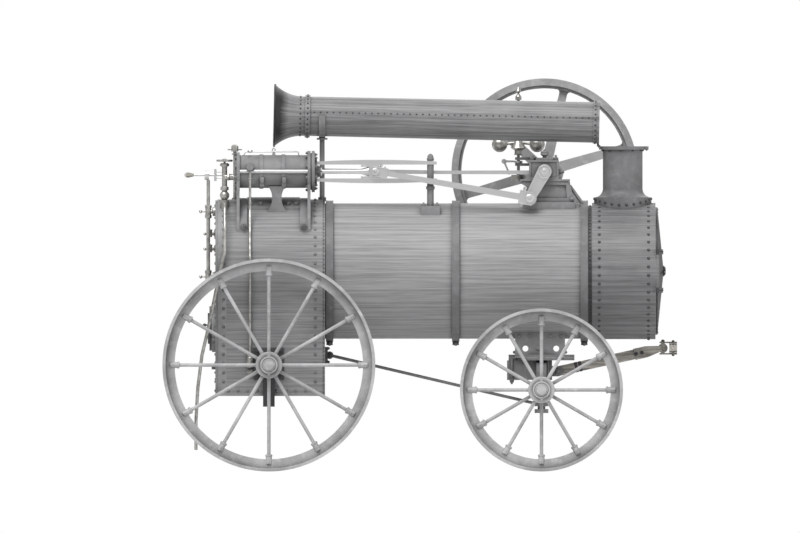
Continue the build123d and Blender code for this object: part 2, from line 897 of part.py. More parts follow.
def chimney_neck():
    """Tube over the saddle with the flange, the hinge's knuckles and the swing bolt's lug."""
    tube_z = flare_top_z()
    neck = turned((chimney_x, 0, tube_z), (0, 0, 1), [
        (0, base_radius), (base_top_z - base_flange_depth - tube_z, base_radius),
        (base_top_z - base_flange_depth - tube_z, base_flange_radius),
        (base_top_z - tube_z, base_flange_radius)], base_bore)
    for side in (-1, 1):
        ys = sorted((side * (chimney_knuckle_width / 2 + side_play), side * chimney_knuckle_width))
        neck += block(chimney_hinge_x, chimney_hinge_x + 2 * hinge_reach, *ys,
                      base_top_z - base_flange_depth, base_top_z) - bar(
            (chimney_x, 0, brim_z), (chimney_x, 0, base_top_z + overrun), base_bore)
        neck += bar((chimney_hinge_x, ys[0], base_top_z), (chimney_hinge_x, ys[1], base_top_z),
                    chimney_knuckle_radius)
    neck += bar((chimney_hinge_x, -chimney_knuckle_width, base_top_z),
                (chimney_hinge_x, chimney_knuckle_width, base_top_z), chimney_hinge_radius)
    lug_x = chimney_x + base_flange_radius
    return neck + block(lug_x - hinge_reach, lug_x + swing_bolt_reach, -swing_bolt_width / 2,
                        swing_bolt_width / 2, base_top_z - base_flange_depth, base_top_z)


def fold(shape):
    """Turn what is drawn with the chimney upright down to where it lies at rest."""
    hinge = Pos(chimney_hinge_x, 0, base_top_z)
    return hinge * Rot(0, -chimney_fold_angle, 0) * Pos(-chimney_hinge_x, 0, -base_top_z) * shape


def chimney_line(x):
    """Height of the lying chimney's axis over a place, and its outer radius there."""
    tilt = radians(chimney_tilt_angle)
    reach = base_flange_radius + hinge_reach
    along = (chimney_hinge_x + reach * sin(tilt) - x) / cos(tilt)
    taper = (chimney_root_radius - chimney_end_radius) / collar_start
    height = base_top_z + reach * cos(tilt) + along * sin(tilt)
    return height, chimney_root_radius - along * taper


def chimney():
    """Riveted tube with a foot flange, a collar and a bell mouth, drawn upright."""
    band_end = chimney_flange_depth + chimney_band_width
    mouth = chimney_length - bell_bead_radius
    bell_waist = bell_start + (mouth - bell_start) / 2
    waist_radius = chimney_end_radius + (bell_radius - chimney_end_radius) / 4
    outer = Polyline(
        (chimney_root_radius - chimney_wall, 0),
        (base_flange_radius, 0),
        (base_flange_radius, chimney_flange_depth),
        (chimney_band_radius, chimney_flange_depth),
        (chimney_band_radius, band_end),
        (chimney_root_radius, band_end),
        (chimney_end_radius, collar_start),
        (collar_radius, collar_start),
        (collar_radius, collar_start + collar_width),
        (chimney_end_radius, collar_start + collar_width),
        (chimney_end_radius, bell_start))
    bell = ThreePointArc((chimney_end_radius, bell_start), (waist_radius, bell_waist),
                         (bell_radius, mouth))
    bell_inside = ThreePointArc((bell_radius - chimney_wall, mouth),
                                (waist_radius - chimney_wall, bell_waist),
                                (chimney_end_radius - chimney_wall, bell_start))
    lip = Line((bell_radius, mouth), (bell_radius - chimney_wall, mouth))
    inner = Line((chimney_end_radius - chimney_wall, bell_start),
                 (chimney_root_radius - chimney_wall, 0))
    tube = revolve(Plane.XZ * make_face([outer, bell, lip, bell_inside, inner]), Axis.Z)
    tube += Pos(0, 0, mouth) * Torus(bell_radius - chimney_wall / 2, bell_bead_radius)
    tube = Pos(chimney_x, 0, base_top_z + seat) * tube
    half = chimney_knuckle_width / 2
    tube += block(chimney_hinge_x, chimney_hinge_x + 2 * hinge_reach, -half, half,
                  base_top_z + seat, base_top_z + seat + chimney_flange_depth)
    tube += bar((chimney_hinge_x, -half, base_top_z), (chimney_hinge_x, half, base_top_z),
                chimney_knuckle_radius)
    tube -= bar((chimney_hinge_x, -half - overrun, base_top_z),
                (chimney_hinge_x, half + overrun, base_top_z), chimney_hinge_radius + running)
    return fold(tube)


def chimney_crutch():
    axis_z, tube_radius_there = chimney_line(crutch_x)
    inner = tube_radius_there + crutch_gap
    outer = inner + crutch_fork_depth
    fork = Pos(0, axis_z) * (Circle(outer) - Circle(inner))
    fork -= Pos(0, axis_z + crutch_fork_depth + outer) * Rectangle(3 * outer, 2 * outer)
    crutch = plate_x(fork, crutch_x - crutch_fork_width / 2, crutch_x + crutch_fork_width / 2)
    foot_z = shell_z(firebox_radius - flange_step, crutch_base_radius) - overrun
    stem = [(foot_z, crutch_base_radius), (boiler_z + firebox_radius + crutch_base_height,
                                           crutch_base_radius)]
    stem += [(stem[-1][0], crutch_post_radius),
             (axis_z - outer - crutch_collar_height, crutch_post_radius)]
    stem += [(stem[-1][0], crutch_collar_radius), (axis_z - outer, crutch_collar_radius)]
    stem += [(axis_z - outer, crutch_post_radius), (axis_z - inner - crutch_fork_depth / 2,
                                                   crutch_post_radius)]
    crutch += turned((crutch_x, 0, 0), (0, 0, 1), stem)
    crutch -= wrapper(firebox_radius + seat, firebox_back_x, firebox_front_x - flange_width)
    return crutch - wrapper(firebox_radius - flange_step + seat, firebox_back_x, firebox_front_x)


def tapered_link(start, end, start_radius, end_radius):
    """Face of a link with round ends of two sizes and straight sides that touch both."""
    reach = hypot_of(start, end)
    line = atan2(end[1] - start[1], end[0] - start[0])
    spread = acos((start_radius - end_radius) / reach)
    corners = []
    for centre, radius, side in ((start, start_radius, 1), (end, end_radius, 1),
                                 (end, end_radius, -1), (start, start_radius, -1)):
        angle = line + side * spread
        corners.append((centre[0] + radius * cos(angle), centre[1] + radius * sin(angle)))
    return outline(*corners) + Pos(*start) * Circle(start_radius) + Pos(*end) * Circle(end_radius)


def hypot_of(start, end):
    return sqrt((end[0] - start[0]) ** 2 + (end[1] - start[1]) ** 2)


def along_engine(x0, x1, radius, y=engine_y, z=engine_z):
    """Round bar parallel to the engine's line."""
    return bar((x0, y, z), (x1, y, z), radius)


def across(x, z, y0, y1, radius):
    """Round bar across the engine, as a pin or a shaft lies."""
    return bar((x, y0, z), (x, y1, z), radius)


def saddle_strap(inner, depth, y0, y1, x0, x1):
    """Strip that lies on the round top of the firebox."""
    ring = Pos(0, boiler_z) * (Circle(inner + depth) - Circle(inner))
    ring &= Pos((y0 + y1) / 2, boiler_z + inner) * Rectangle(y1 - y0, 2 * inner)
    return plate_x(ring, x0, x1)


def cylinder_leg(web_x, foot_x):
    """Web under a cylinder flange, with a curved foot bolted to the firebox."""
    inner = firebox_radius + seat
    low_z = shell_z(inner, leg_reach)
    half = leg_width / 2
    web = outline(
        (engine_y + half, engine_z),
        (engine_y + half, low_z + leg_foot_width),
        (-leg_reach, low_z - leg_foot_depth),
        (-leg_reach, low_z + leg_foot_depth),
        (engine_y - half, engine_z - half - leg_foot_width),
        (engine_y - half, engine_z))
    leg = plate_x(web, web_x, web_x + leg_depth)
    foot = saddle_strap(inner, leg_foot_depth, -leg_reach, engine_y + half, foot_x,
                        foot_x + leg_foot_width)
    slot_height = engine_z - low_z
    slot = Pos(foot_x + leg_foot_width / 2, low_z - leg_foot_depth + slot_height / 2) * Rot(
        0, 0, 90) * SlotOverall(slot_height, leg_foot_width)
    leg += foot & plate_y(slot, -leg_reach - overrun, engine_y + half + overrun)
    lean = asin((low_z + leg_foot_width / 2 - boiler_z) / inner)
    end = inner + leg_foot_depth + leg_bolt_depth
    leg += bar((foot_x + leg_foot_width / 2, -inner * cos(lean), boiler_z + inner * sin(lean)),
               (foot_x + leg_foot_width / 2, -end * cos(lean), boiler_z + end * sin(lean)), leg_bolt_radius)
    return leg - wrapper(inner, firebox_back_x, firebox_front_x)


def cylinder():
    groove = front_flange_radius - 2 * front_flange_groove
    split = (front_flange_depth - front_flange_groove) / 2
    front = cylinder_length - front_flange_depth
    profile = [(0, rear_flange_radius), (rear_flange_depth, rear_flange_radius),
               (rear_flange_depth, cylinder_radius)]
    for start in cylinder_band_starts:
        end = start + cylinder_band_width
        profile += [(start, cylinder_radius), (start, cylinder_radius + cylinder_band_proud),
                    (end, cylinder_radius + cylinder_band_proud), (end, cylinder_radius)]
    profile += [(front, cylinder_radius), (front, front_flange_radius),
                (front + split, front_flange_radius), (front + split, groove),
                (front + split + front_flange_groove, groove),
                (front + split + front_flange_groove, front_flange_radius),
                (cylinder_length, front_flange_radius), (cylinder_length, cover_radius),
                (cylinder_length + cover_depth, cover_radius),
                (cylinder_length + cover_depth, gland_radius),
                (cylinder_length + cover_depth + gland_depth, gland_radius)]
    body = turned((cylinder_start_x, engine_y, engine_z), (1, 0, 0), profile)
    body += cylinder_leg(cylinder_start_x, cylinder_start_x + leg_depth)
    front_web = cylinder_start_x + front + split - leg_depth
    body += cylinder_leg(front_web, front_web - leg_foot_width)
    near_y = engine_y - cylinder_radius
    body += block(cylinder_start_x + rear_flange_depth, cylinder_start_x + front,
                  near_y - cylinder_band_proud, near_y + cylinder_band_width,
                  engine_z - cylinder_band_width / 2, engine_z + cylinder_band_width / 2)
    body += across(bonnet_x, bonnet_z, near_y - bonnet_depth, engine_y, bonnet_radius)
    body += across(bonnet_x, bonnet_z, near_y - bonnet_depth - cylinder_band_proud, engine_y,
                   bonnet_radius / 2)
    chamber_end = cylinder_end_x - cover_depth
    body -= along_engine(cylinder_start_x + 2 * rear_flange_depth, chamber_end,
                         gland_radius)
    return body - along_engine(chamber_end - overrun, cover_end_x + gland_depth + overrun,
                               piston_rod_radius + running)


def cylinder_saddle():
    """Curved bed between the cylinder's feet, with a waisted neck up to the cylinder."""
    x0 = cylinder_start_x + leg_depth + leg_foot_width + side_play
    front = cylinder_length - front_flange_depth
    split = (front_flange_depth - front_flange_groove) / 2
    x1 = cylinder_start_x + front + split - leg_depth - leg_foot_width - side_play
    inner = firebox_radius + seat
    bed = saddle_strap(inner, saddle_depth, -saddle_reach, saddle_far_reach, x0, x1)
    half_depth = saddle_neck_width / 2
    top_z = engine_z - cylinder_radius + saddle_depth
    foot_z = shell_z(inner, engine_y - half_depth)
    waist_z = (top_z + shell_z(inner, engine_y)) / 2
    left = ThreePointArc((saddle_neck_x - saddle_neck_foot, foot_z),
                         (saddle_neck_x - saddle_neck_waist, waist_z),
                         (saddle_neck_x - saddle_neck_top, top_z))
    top = Line((saddle_neck_x - saddle_neck_top, top_z), (saddle_neck_x + saddle_neck_top, top_z))
    right = ThreePointArc((saddle_neck_x + saddle_neck_top, top_z),
                          (saddle_neck_x + saddle_neck_waist, waist_z),
                          (saddle_neck_x + saddle_neck_foot, foot_z))
    bottom = Line((saddle_neck_x + saddle_neck_foot, foot_z), (saddle_neck_x - saddle_neck_foot, foot_z))
    neck = plate_y(make_face([left, top, right, bottom]), engine_y - half_depth, engine_y + half_depth)
    neck -= along_engine(cylinder_start_x, cylinder_end_x, cylinder_radius + cylinder_band_proud + seat)
    return (bed + neck) - wrapper(inner, firebox_back_x, firebox_front_x)


def steam_chest():
    end_x = chest_start_x + chest_length
    chest = block(chest_start_x, end_x, engine_y, chest_far_y, chest_bottom_z, chest_top_z)
    chest = fillet(chest.edges().filter_by(Axis.X).group_by(Axis.Y)[-1], cover_depth)
    lip = block(chest_start_x - cover_depth, end_x + cover_depth, -chest_far_y, -chest_far_y + cover_depth,
                chest_bottom_z - cover_depth, chest_top_z + cover_depth)
    chest += lip
    gland_x = end_x + chest_gland_depth
    chest += along_engine(end_x, gland_x, chest_gland_radius, valve_rod_y, eccentric_z)
    chest -= along_engine(cylinder_start_x, cylinder_end_x, cylinder_radius + cylinder_band_proud + seat)
    return chest - along_engine(end_x - 2 * valve_rod_inner, gland_x + overrun,
                                valve_rod_radius + running, valve_rod_y, eccentric_z)


def lifting_eye():
    """Eye on top of the steam chest."""
    face = outline((eye_x - eye_foot_width / 2, chest_top_z), (eye_x + eye_foot_width / 2, chest_top_z),
                   (eye_x + eye_hole_radius, eye_neck_z), (eye_x - eye_hole_radius, eye_neck_z))
    face += Pos(eye_x, eye_ring_z) * Circle(eye_ring_radius)
    face -= Pos(eye_x, eye_ring_z) * Circle(eye_hole_radius)
    middle_y = engine_y / 2 + chest_far_y
    return plate_y(face, middle_y - eye_depth / 2, middle_y + eye_depth / 2)


def bar_depth(x):
    """Depth of a guide bar at a place: thin at the ends, deepest in the middle."""
    middle, half = (cover_end_x + bar_end_x) / 2, (bar_end_x - cover_end_x) / 2
    return bar_end_depth + (bar_belly_depth - bar_end_depth) * (1 - ((x - middle) / half) ** 2)


def guide_bars():
    bars = []
    middle = (cover_end_x + bar_end_x) / 2
    for side in (-1, 1):
        flat_z = engine_z + side * bar_gap
        end_z = flat_z + side * bar_end_depth
        belly = ThreePointArc((cover_end_x, end_z), (middle, flat_z + side * bar_belly_depth),
                              (bar_end_x, end_z))
        straight = Polyline((bar_end_x, end_z), (bar_end_x, flat_z), (cover_end_x, flat_z),
                            (cover_end_x, end_z))
        guide = plate_y(make_face([belly, straight]), engine_y - bar_width / 2, engine_y + bar_width / 2)
        guide -= bar((post_x, engine_y, flat_z - 2 * bar_belly_depth),
                     (post_x, engine_y, flat_z + 2 * bar_belly_depth), post_pin_radius + seat)
        bars.append(guide)
    return Compound(children=bars)


def guide_post():
    depth = bar_depth(post_x - post_radius)
    low_z = engine_z - bar_gap - depth - seat
    top_z = engine_z + bar_gap + depth + seat
    foot_top_z = shell_z(barrel_radius, engine_y) + post_foot_depth
    foot_low_z = shell_z(barrel_radius, engine_y - post_foot_width / 2)
    collar_z = engine_z - post_collar_drop
    profile = [(foot_low_z, post_radius), (collar_z - post_collar_height, post_radius),
               (collar_z - post_collar_height, post_collar_radius), (collar_z, post_collar_radius),
               (collar_z, post_radius), (low_z, post_radius), (low_z, post_pin_radius),
               (engine_z - bar_gap + seat, post_pin_radius), (engine_z - bar_gap + seat, post_radius),
               (engine_z + bar_gap - seat, post_radius), (engine_z + bar_gap - seat, post_pin_radius),
               (top_z, post_pin_radius), (top_z, finial_radius),
               (top_z + finial_height / 2, finial_radius), (top_z + finial_height, post_pin_radius)]
    post = turned((post_x, engine_y, 0), (0, 0, 1), profile)
    post += block(post_x - post_foot_length / 2, post_x + post_foot_length / 2,
                  engine_y - post_foot_width / 2, engine_y + post_foot_width / 2, foot_low_z, foot_top_z)
    return post - drum(barrel_radius + seat, firebox_front_x, barrel_end_x)


def crosshead():
    """Crosshead between the bars, with the piston rod and the overhung gudgeon pin."""
    rear_x, front_x_end = gudgeon_x - crosshead_rear, gudgeon_x + crosshead_front
    half_y = bar_width / 2
    half_z = bar_gap - seat
    head = Part()
    for side in (-1, 1):
        zs = sorted((engine_z + side * half_z, engine_z + side * (half_z - shoe_depth)))
        head += block(rear_x, front_x_end, engine_y - half_y, engine_y + half_y, *zs)
    head += block(gudgeon_x - crosshead_front, front_x_end, engine_y - half_y, engine_y + half_y,
                  engine_z - half_z, engine_z + half_z)
    head += bar((rear_x, engine_y, engine_z), (gudgeon_x - crosshead_front, engine_y, engine_z),
                piston_rod_radius + side_play, cross_boss_radius - side_play)
    head += along_engine(piston_rod_end_x, gudgeon_x, piston_rod_radius)
    rod_far_y = rod_near_y + rod_plane_depth
    head += across(gudgeon_x, engine_z, rod_far_y + side_play, engine_y, cross_boss_radius)
    head += across(gudgeon_x, engine_z, rod_near_y - pin_cap_depth, engine_y, gudgeon_radius)
    return head + across(gudgeon_x, engine_z, rod_near_y - pin_cap_depth, rod_near_y - side_play,
                         gudgeon_radius + pin_cap_depth)


def connecting_rod():
    """Tapered rod with a strapped end at each pin; drawn level, then turned down to the crank."""
    y0, y1 = rod_near_y, rod_near_y + rod_plane_depth
    middle_y = (y0 + y1) / 2
    shank = outline((rod_eye_front, -rod_small_width / 2), (rod_length - rod_end_rear, -rod_large_width / 2),
                    (rod_length - rod_end_rear, rod_large_width / 2), (rod_eye_front, rod_small_width / 2))
    rod = plate_y(shank, middle_y - rod_bar_depth / 2, middle_y + rod_bar_depth / 2)
    small = Pos(rod_eye_front / 2, 0) * Rectangle(rod_eye_front, rod_eye_width)
    small += Circle(rod_eye_width / 2)
    rod += plate_y(small, y0, y1)
    large = Pos(rod_length - rod_end_rear / 2, 0) * Rectangle(rod_end_rear, rod_end_width)
    large += Pos(rod_length, 0) * Circle(rod_end_width / 2)
    rod += plate_y(large, y0, y1)
    for x, height in ((rod_eye_front - 2 * rod_cotter_width, rod_cotter_depth - rod_eye_width / 2),
                      (rod_length - rod_end_rear + 2 * rod_cotter_width, rod_cotter_depth)):
        rod += block(x - rod_cotter_width / 2, x + rod_cotter_width / 2,
                     middle_y - rod_cotter_width, middle_y + rod_cotter_width, -height / 2, height / 2)
    rod -= across(0, 0, y0 - overrun, y1 + overrun, gudgeon_radius + running)
    rod += across(rod_length, 0, y0 - pin_cap_depth, web_far_y - web_depth - seat, crank_pin_radius)
    rod += across(rod_length, 0, y0 - pin_cap_depth, y0, pin_cap_radius)
    return Pos(gudgeon_x, 0, engine_z) * Rot(0, rod_drop_angle, 0) * rod


def crankshaft():
    """Shaft with the overhung crank and the eccentric's sheave."""
    centre, pin = (shaft_x, engine_z), (crank_pin_x, crank_pin_z)
    near_y = web_far_y - web_depth
    shaft = across(shaft_x, engine_z, near_y - web_rib_depth / 2, shaft_far_y, shaft_radius)
    shaft += plate_y(tapered_link(centre, pin, web_hub_radius, web_pin_radius), near_y, web_far_y)
    pocket = tapered_link(centre, pin, web_hub_radius - web_rib_width, web_pin_radius - web_rib_width)
    pocket -= Pos(*centre) * Circle(web_hub_radius)
    pocket -= Pos(*pin) * Circle(web_pin_radius)
    shaft -= plate_y(pocket, near_y - overrun, near_y + web_rib_depth)
    return shaft + across(eccentric_x, eccentric_z, eccentric_y - sheave_width / 2,
                          eccentric_y + sheave_width / 2, sheave_radius)


def flywheel():
    """Flywheel with a stepped rim, tapered arms filleted into it and a plain hub."""
    inner = flywheel_radius - flywheel_rim_depth
    step_radius = inner + flywheel_rim_step
    far_y = flywheel_near_y + flywheel_width
    middle_y = (flywheel_near_y + far_y) / 2
    rim = Polyline((step_radius, flywheel_near_y), (flywheel_radius, flywheel_near_y),
                   (flywheel_radius, far_y), (step_radius, far_y),
                   (step_radius, far_y - flywheel_rim_step), (inner, far_y - flywheel_rim_step),
                   (inner, flywheel_near_y + flywheel_rim_step),
                   (step_radius, flywheel_near_y + flywheel_rim_step), close=True)
    rim = revolve(Plane.XZ * make_face(rim), Axis.Z)
    rim = Plane(origin=(shaft_x, 0, engine_z), z_dir=(0, 1, 0)) * rim
    neck = inner - flywheel_arm_fillet
    half, flare = flywheel_arm_tip / 2, flywheel_arm_fillet
    bend = flare * sin(pi / 4)
    low = ThreePointArc((neck, -half), (neck + bend, -half - flare + bend), (inner, -half - flare))
    high = ThreePointArc((inner, half + flare), (neck + bend, half + flare - bend), (neck, half))
    tip = Polyline((inner, -half - flare), (inner + overrun, -half - flare),
                   (inner + overrun, half + flare), (inner, half + flare))
    root = Polyline((neck, half), (0, flywheel_arm_root / 2), (0, -flywheel_arm_root / 2), (neck, -half))
    arm = make_face([low, tip, high, root])
    arms = []
    for number in range(flywheel_arm_count):
        turn = Rot(0, 0, flywheel_arm_angle + number * 360 / flywheel_arm_count)
        arms.append(plate_y(Pos(shaft_x, engine_z) * turn * arm, middle_y - flywheel_arm_depth / 2,
                            middle_y + flywheel_arm_depth / 2))
    hub = across(shaft_x, engine_z, flywheel_near_y, far_y, flywheel_hub_radius)
    wheel = rim + [hub, *arms]
    return wheel - across(shaft_x, engine_z, flywheel_near_y - overrun, far_y + overrun,
                          shaft_radius + seat)


def eccentric_rod():
    half = strap_width / 2
    strap = across(eccentric_x, eccentric_z, eccentric_y - half, eccentric_y + half,
                   sheave_radius + strap_depth)
    end_x = eccentric_x - eccentric_rod_length
    rod_half = eccentric_rod_depth / 2
    face = outline((end_x, eccentric_z - knuckle_radius / 2),
                   (eccentric_x, eccentric_z - eccentric_rod_width / 2),
                   (eccentric_x, eccentric_z + eccentric_rod_width / 2),
                   (end_x, eccentric_z + knuckle_radius / 2))
    face += Pos(end_x, eccentric_z) * Circle(knuckle_radius)
    strap += plate_y(face, eccentric_y - rod_half, eccentric_y + rod_half)
    for side in (-1, 1):
        lug_z = eccentric_z + side * (sheave_radius + strap_depth)
        strap += block(eccentric_x - half, eccentric_x + half, eccentric_y - half, eccentric_y + half,
                       lug_z - strap_depth / 2, lug_z + strap_depth / 2)
    return strap - across(eccentric_x, eccentric_z, eccentric_y - strap_width, eccentric_y + strap_width,
                          sheave_radius + running)


def valve_rod():
    end_x = eccentric_x - eccentric_rod_length
    start_x = chest_start_x + chest_length - valve_rod_inner
    rod = along_engine(start_x, end_x, valve_rod_radius, valve_rod_y, eccentric_z)
    half = eccentric_rod_depth / 2
    rod += across(end_x, eccentric_z, valve_rod_y - half, valve_rod_y + half, knuckle_radius)
    return rod + across(end_x, eccentric_z, eccentric_y + half + seat, valve_rod_y, knuckle_pin_radius)


def pedestal(ys, outward):
    """Bearing for the crankshaft: a foot, a panelled plinth, a block with a cap and an oil cup."""
    y0, y1 = ys
    low_z = shell_z(barrel_radius, max(abs(y0), abs(y1)) + pedestal_foot_ledge) - overrun
    plinth_z = engine_z - plinth_top_drop
    slope_z = engine_z - pedestal_slope_drop
    body = plate_y(outline(
        (shaft_x - pedestal_left, plinth_z),
        (shaft_x - pedestal_left, plinth_z - plinth_lip),
        (shaft_x - pedestal_foot_left, plinth_z - 2 * plinth_lip),
        (shaft_x - pedestal_foot_left, low_z),
        (shaft_x + pedestal_foot_right, low_z),
        (shaft_x + pedestal_foot_right, slope_z),
        (shaft_x + pedestal_right, plinth_z - plinth_lip),
        (shaft_x + pedestal_right, plinth_z)), y0, y1)
    body += block(shaft_x - block_left, shaft_x + block_right, y0, y1, plinth_z,
                  engine_z + block_top_rise)
    body += block(shaft_x - cap_left, shaft_x + cap_right, y0, y1, engine_z + block_top_rise,
                  engine_z + block_top_rise + cap_rise)
    face_y = y0 if outward < 0 else y1
    ledge = sorted((face_y - outward * (y1 - y0) / 2, face_y + outward * pedestal_foot_ledge))
    body += block(shaft_x - pedestal_foot_left - pedestal_foot_ledge, shaft_x + pedestal_foot_right,
                  *ledge, low_z, slope_z + pedestal_foot_ledge)
    pocket = outline(
        (shaft_x - pedestal_foot_left + panel_inset, slope_z + panel_inset + pedestal_foot_ledge),
        (shaft_x + pedestal_foot_right - 2 * panel_inset, slope_z + panel_inset + pedestal_foot_ledge),
        (shaft_x + pedestal_right - panel_inset, plinth_z - plinth_lip - panel_inset / 2),
        (shaft_x - pedestal_foot_left + panel_inset, plinth_z - plinth_lip - panel_inset / 2))
    body -= plate_y(pocket, *sorted((face_y - outward * panel_depth, face_y + outward * overrun)))
    body += across(shaft_x, engine_z, *sorted((face_y - outward * panel_depth,
                                               face_y + outward * brass_depth)), brass_radius)
    cap_z = engine_z + block_top_rise + cap_rise
    body += turned((shaft_x, (y0 + y1) / 2, cap_z), (0, 0, 1), [
        (0, oil_cup_radius / 2), (oil_cup_height / 4, oil_cup_radius / 2),
        (oil_cup_height / 2, oil_cup_radius), (oil_cup_height, oil_cup_radius)])
    body -= across(shaft_x, engine_z, y0 - 2 * pedestal_foot_ledge, y1 + 2 * pedestal_foot_ledge,
                   shaft_radius + running)
    return body - drum(barrel_radius + seat, firebox_front_x, barrel_end_x)


def near_pedestal():
    return pedestal(near_pedestal_ys, -1)


def far_pedestal():
    return pedestal(far_pedestal_ys, 1)


def governor_bracket():
    """Plate on the far pedestal with two arms that hold the governor's spindle."""
    plate_y0 = far_pedestal_ys[1] + brass_depth
    half = governor_bracket_width / 2
    low, high = governor_bracket_zs[0], governor_bracket_zs[1] + governor_bracket_height
    plate_x1 = governor_plate_x + governor_plate_width
    bracket = block(governor_plate_x, plate_x1, far_pedestal_ys[1], plate_y0, low, high)
    for z in governor_bracket_zs:
        bracket += block(governor_x, plate_x1, plate_y0 - brass_depth / 2, governor_y + half, z,
                         z + governor_bracket_height)
        bracket += bar((governor_x, governor_y, z), (governor_x, governor_y, z + governor_bracket_height),
                       half)
    return bracket - bar((governor_x, governor_y, low - overrun), (governor_x, governor_y, high + overrun),
                         governor_spindle_radius + running)


def governor():
    """Spinning part: spindle, pulley, sleeve, two balls on bent arms and a tall finial."""
    bottom = governor_spindle_bottom_z
    head = governor_head_bottom_z
    top = head + governor_head_height
    spindle = governor_spindle_radius
    tip = governor_finial_z + governor_finial_height
    profile = [(bottom, governor_pulley_radius), (bottom + governor_pulley_height, governor_pulley_radius),
               (bottom + governor_pulley_height, spindle), (head, spindle),
               (head, governor_head_radius / 2), (head + governor_head_height / 3, governor_head_radius / 2),
               (head + governor_head_height / 2, governor_head_radius), (top, governor_head_radius / 2),
               (top, spindle), (governor_finial_z, spindle),
               (governor_finial_z, governor_finial_radius),
               (governor_finial_z + governor_finial_height / 4, governor_finial_radius),
               (governor_finial_z + governor_finial_height / 2, spindle / 2),
               (governor_finial_z + 2 * governor_finial_height / 3, governor_finial_radius),
               (tip, spindle / 3)]
    spinner = turned((governor_x, governor_y, 0), (0, 0, 1), profile)
    flyers = []
    for side in (-1, 1):
        centre = (governor_x + side * governor_ball_reach, governor_y, governor_ball_z)
        flyers.append(bar((governor_x, governor_y, top - governor_arm_radius), centre,
                          governor_arm_radius))
        flyers.append(ball(centre, governor_ball_radius))
    return spinner + flyers


def steam_valve():
    """Stop valve on the firebox with a handwheel above and a coupling to the cylinder."""
    foot_z = shell_z(firebox_radius, engine_y - valve_foot_radius)
    foot_top = valve_globe_z - valve_globe_radius
    flange_top = valve_flange_z + valve_flange_depth
    collar_top = valve_collar_z + valve_collar_height
    wheel_top = valve_wheel_z + valve_wheel_depth
    valve = turned((valve_x, engine_y, 0), (0, 0, 1), [
        (foot_z, valve_foot_radius), (foot_top, valve_foot_radius), (foot_top, valve_pipe_radius),
        (valve_flange_z, valve_pipe_radius), (valve_flange_z, valve_flange_radius),
        (flange_top, valve_flange_radius), (flange_top, valve_pipe_radius),
        (valve_collar_z, valve_pipe_radius), (valve_collar_z, valve_foot_radius),
        (collar_top, valve_foot_radius), (collar_top, valve_spindle_radius),
        (wheel_top, valve_spindle_radius)])
    valve += ball((valve_x, engine_y, valve_globe_z), valve_globe_radius)
    rim = Circle(valve_wheel_radius) - Circle(valve_wheel_radius - valve_wheel_depth)
    for angle in (0, 90):
        rim += Rot(0, 0, angle) * Rectangle(2 * valve_wheel_radius - valve_wheel_depth, valve_wheel_depth)
    valve += plate_z(Pos(valve_x, engine_y) * rim, valve_wheel_z, wheel_top)
    valve += along_engine(valve_x, cylinder_start_x, coupling_radius, z=coupling_z)
    return valve - wrapper(firebox_radius + seat, firebox_back_x, firebox_front_x)


def regulator():
    """Long handle, its boss and the link bars that lead to the stop valve."""
    boss_start = regulator_boss_x - regulator_tip_x
    boss_end = boss_start + regulator_boss_length
    reach = valve_x - valve_pipe_radius - seat - regulator_tip_x
    handle = turned((regulator_tip_x, engine_y, regulator_z), (1, 0, 0), [
        (0, regulator_handle_radius / 2), (regulator_handle_length / 4, regulator_handle_radius),
        (regulator_handle_length, regulator_rod_radius), (boss_start, regulator_rod_radius),
        (boss_start, regulator_boss_radius), (boss_end, regulator_boss_radius),
        (boss_end, regulator_rod_radius), (reach, regulator_rod_radius)])
    link_x = firebox_back_x
    half = regulator_link_width / 2
    handle += block(link_x - half, link_x + half, engine_y - half, engine_y + half,
                    regulator_z - regulator_link_spread, regulator_z + regulator_link_spread)
    for side in (-1, 1):
        z = regulator_z + side * regulator_link_spread / 2
        handle += along_engine(link_x, valve_x - valve_pipe_radius - seat, regulator_rod_radius / 2, z=z)
        handle += across(link_x, z, engine_y - regulator_link_width, engine_y + regulator_link_width,
                         regulator_rod_radius)
    return handle


def safety_valve():
    foot_z = boiler_z + firebox_radius
    ring_top = safety_ring_z + safety_ring_height
    body_top = safety_body_z + safety_body_height
    valve = turned((safety_x, 0, 0), (0, 0, 1), [
        (shell_z(firebox_radius, safety_ring_radius), safety_ring_radius),
        (foot_z + safety_ring_height, safety_ring_radius),
        (foot_z + safety_ring_height, safety_post_radius), (safety_ring_z, safety_post_radius),
        (safety_ring_z, safety_ring_radius), (ring_top, safety_ring_radius),
        (ring_top, safety_post_radius), (safety_body_z, safety_post_radius),
        (safety_body_z, safety_body_radius), (body_top - safety_ring_height, safety_body_radius),
        (body_top, safety_post_radius)])
    valve += block(safety_x - safety_wing_span / 2, safety_x + safety_wing_span / 2,
                   -safety_wing_width / 2, safety_wing_width / 2, safety_wing_z,
                   safety_wing_z + safety_wing_height)
    return valve - wrapper(firebox_radius + seat, firebox_back_x, firebox_front_x)


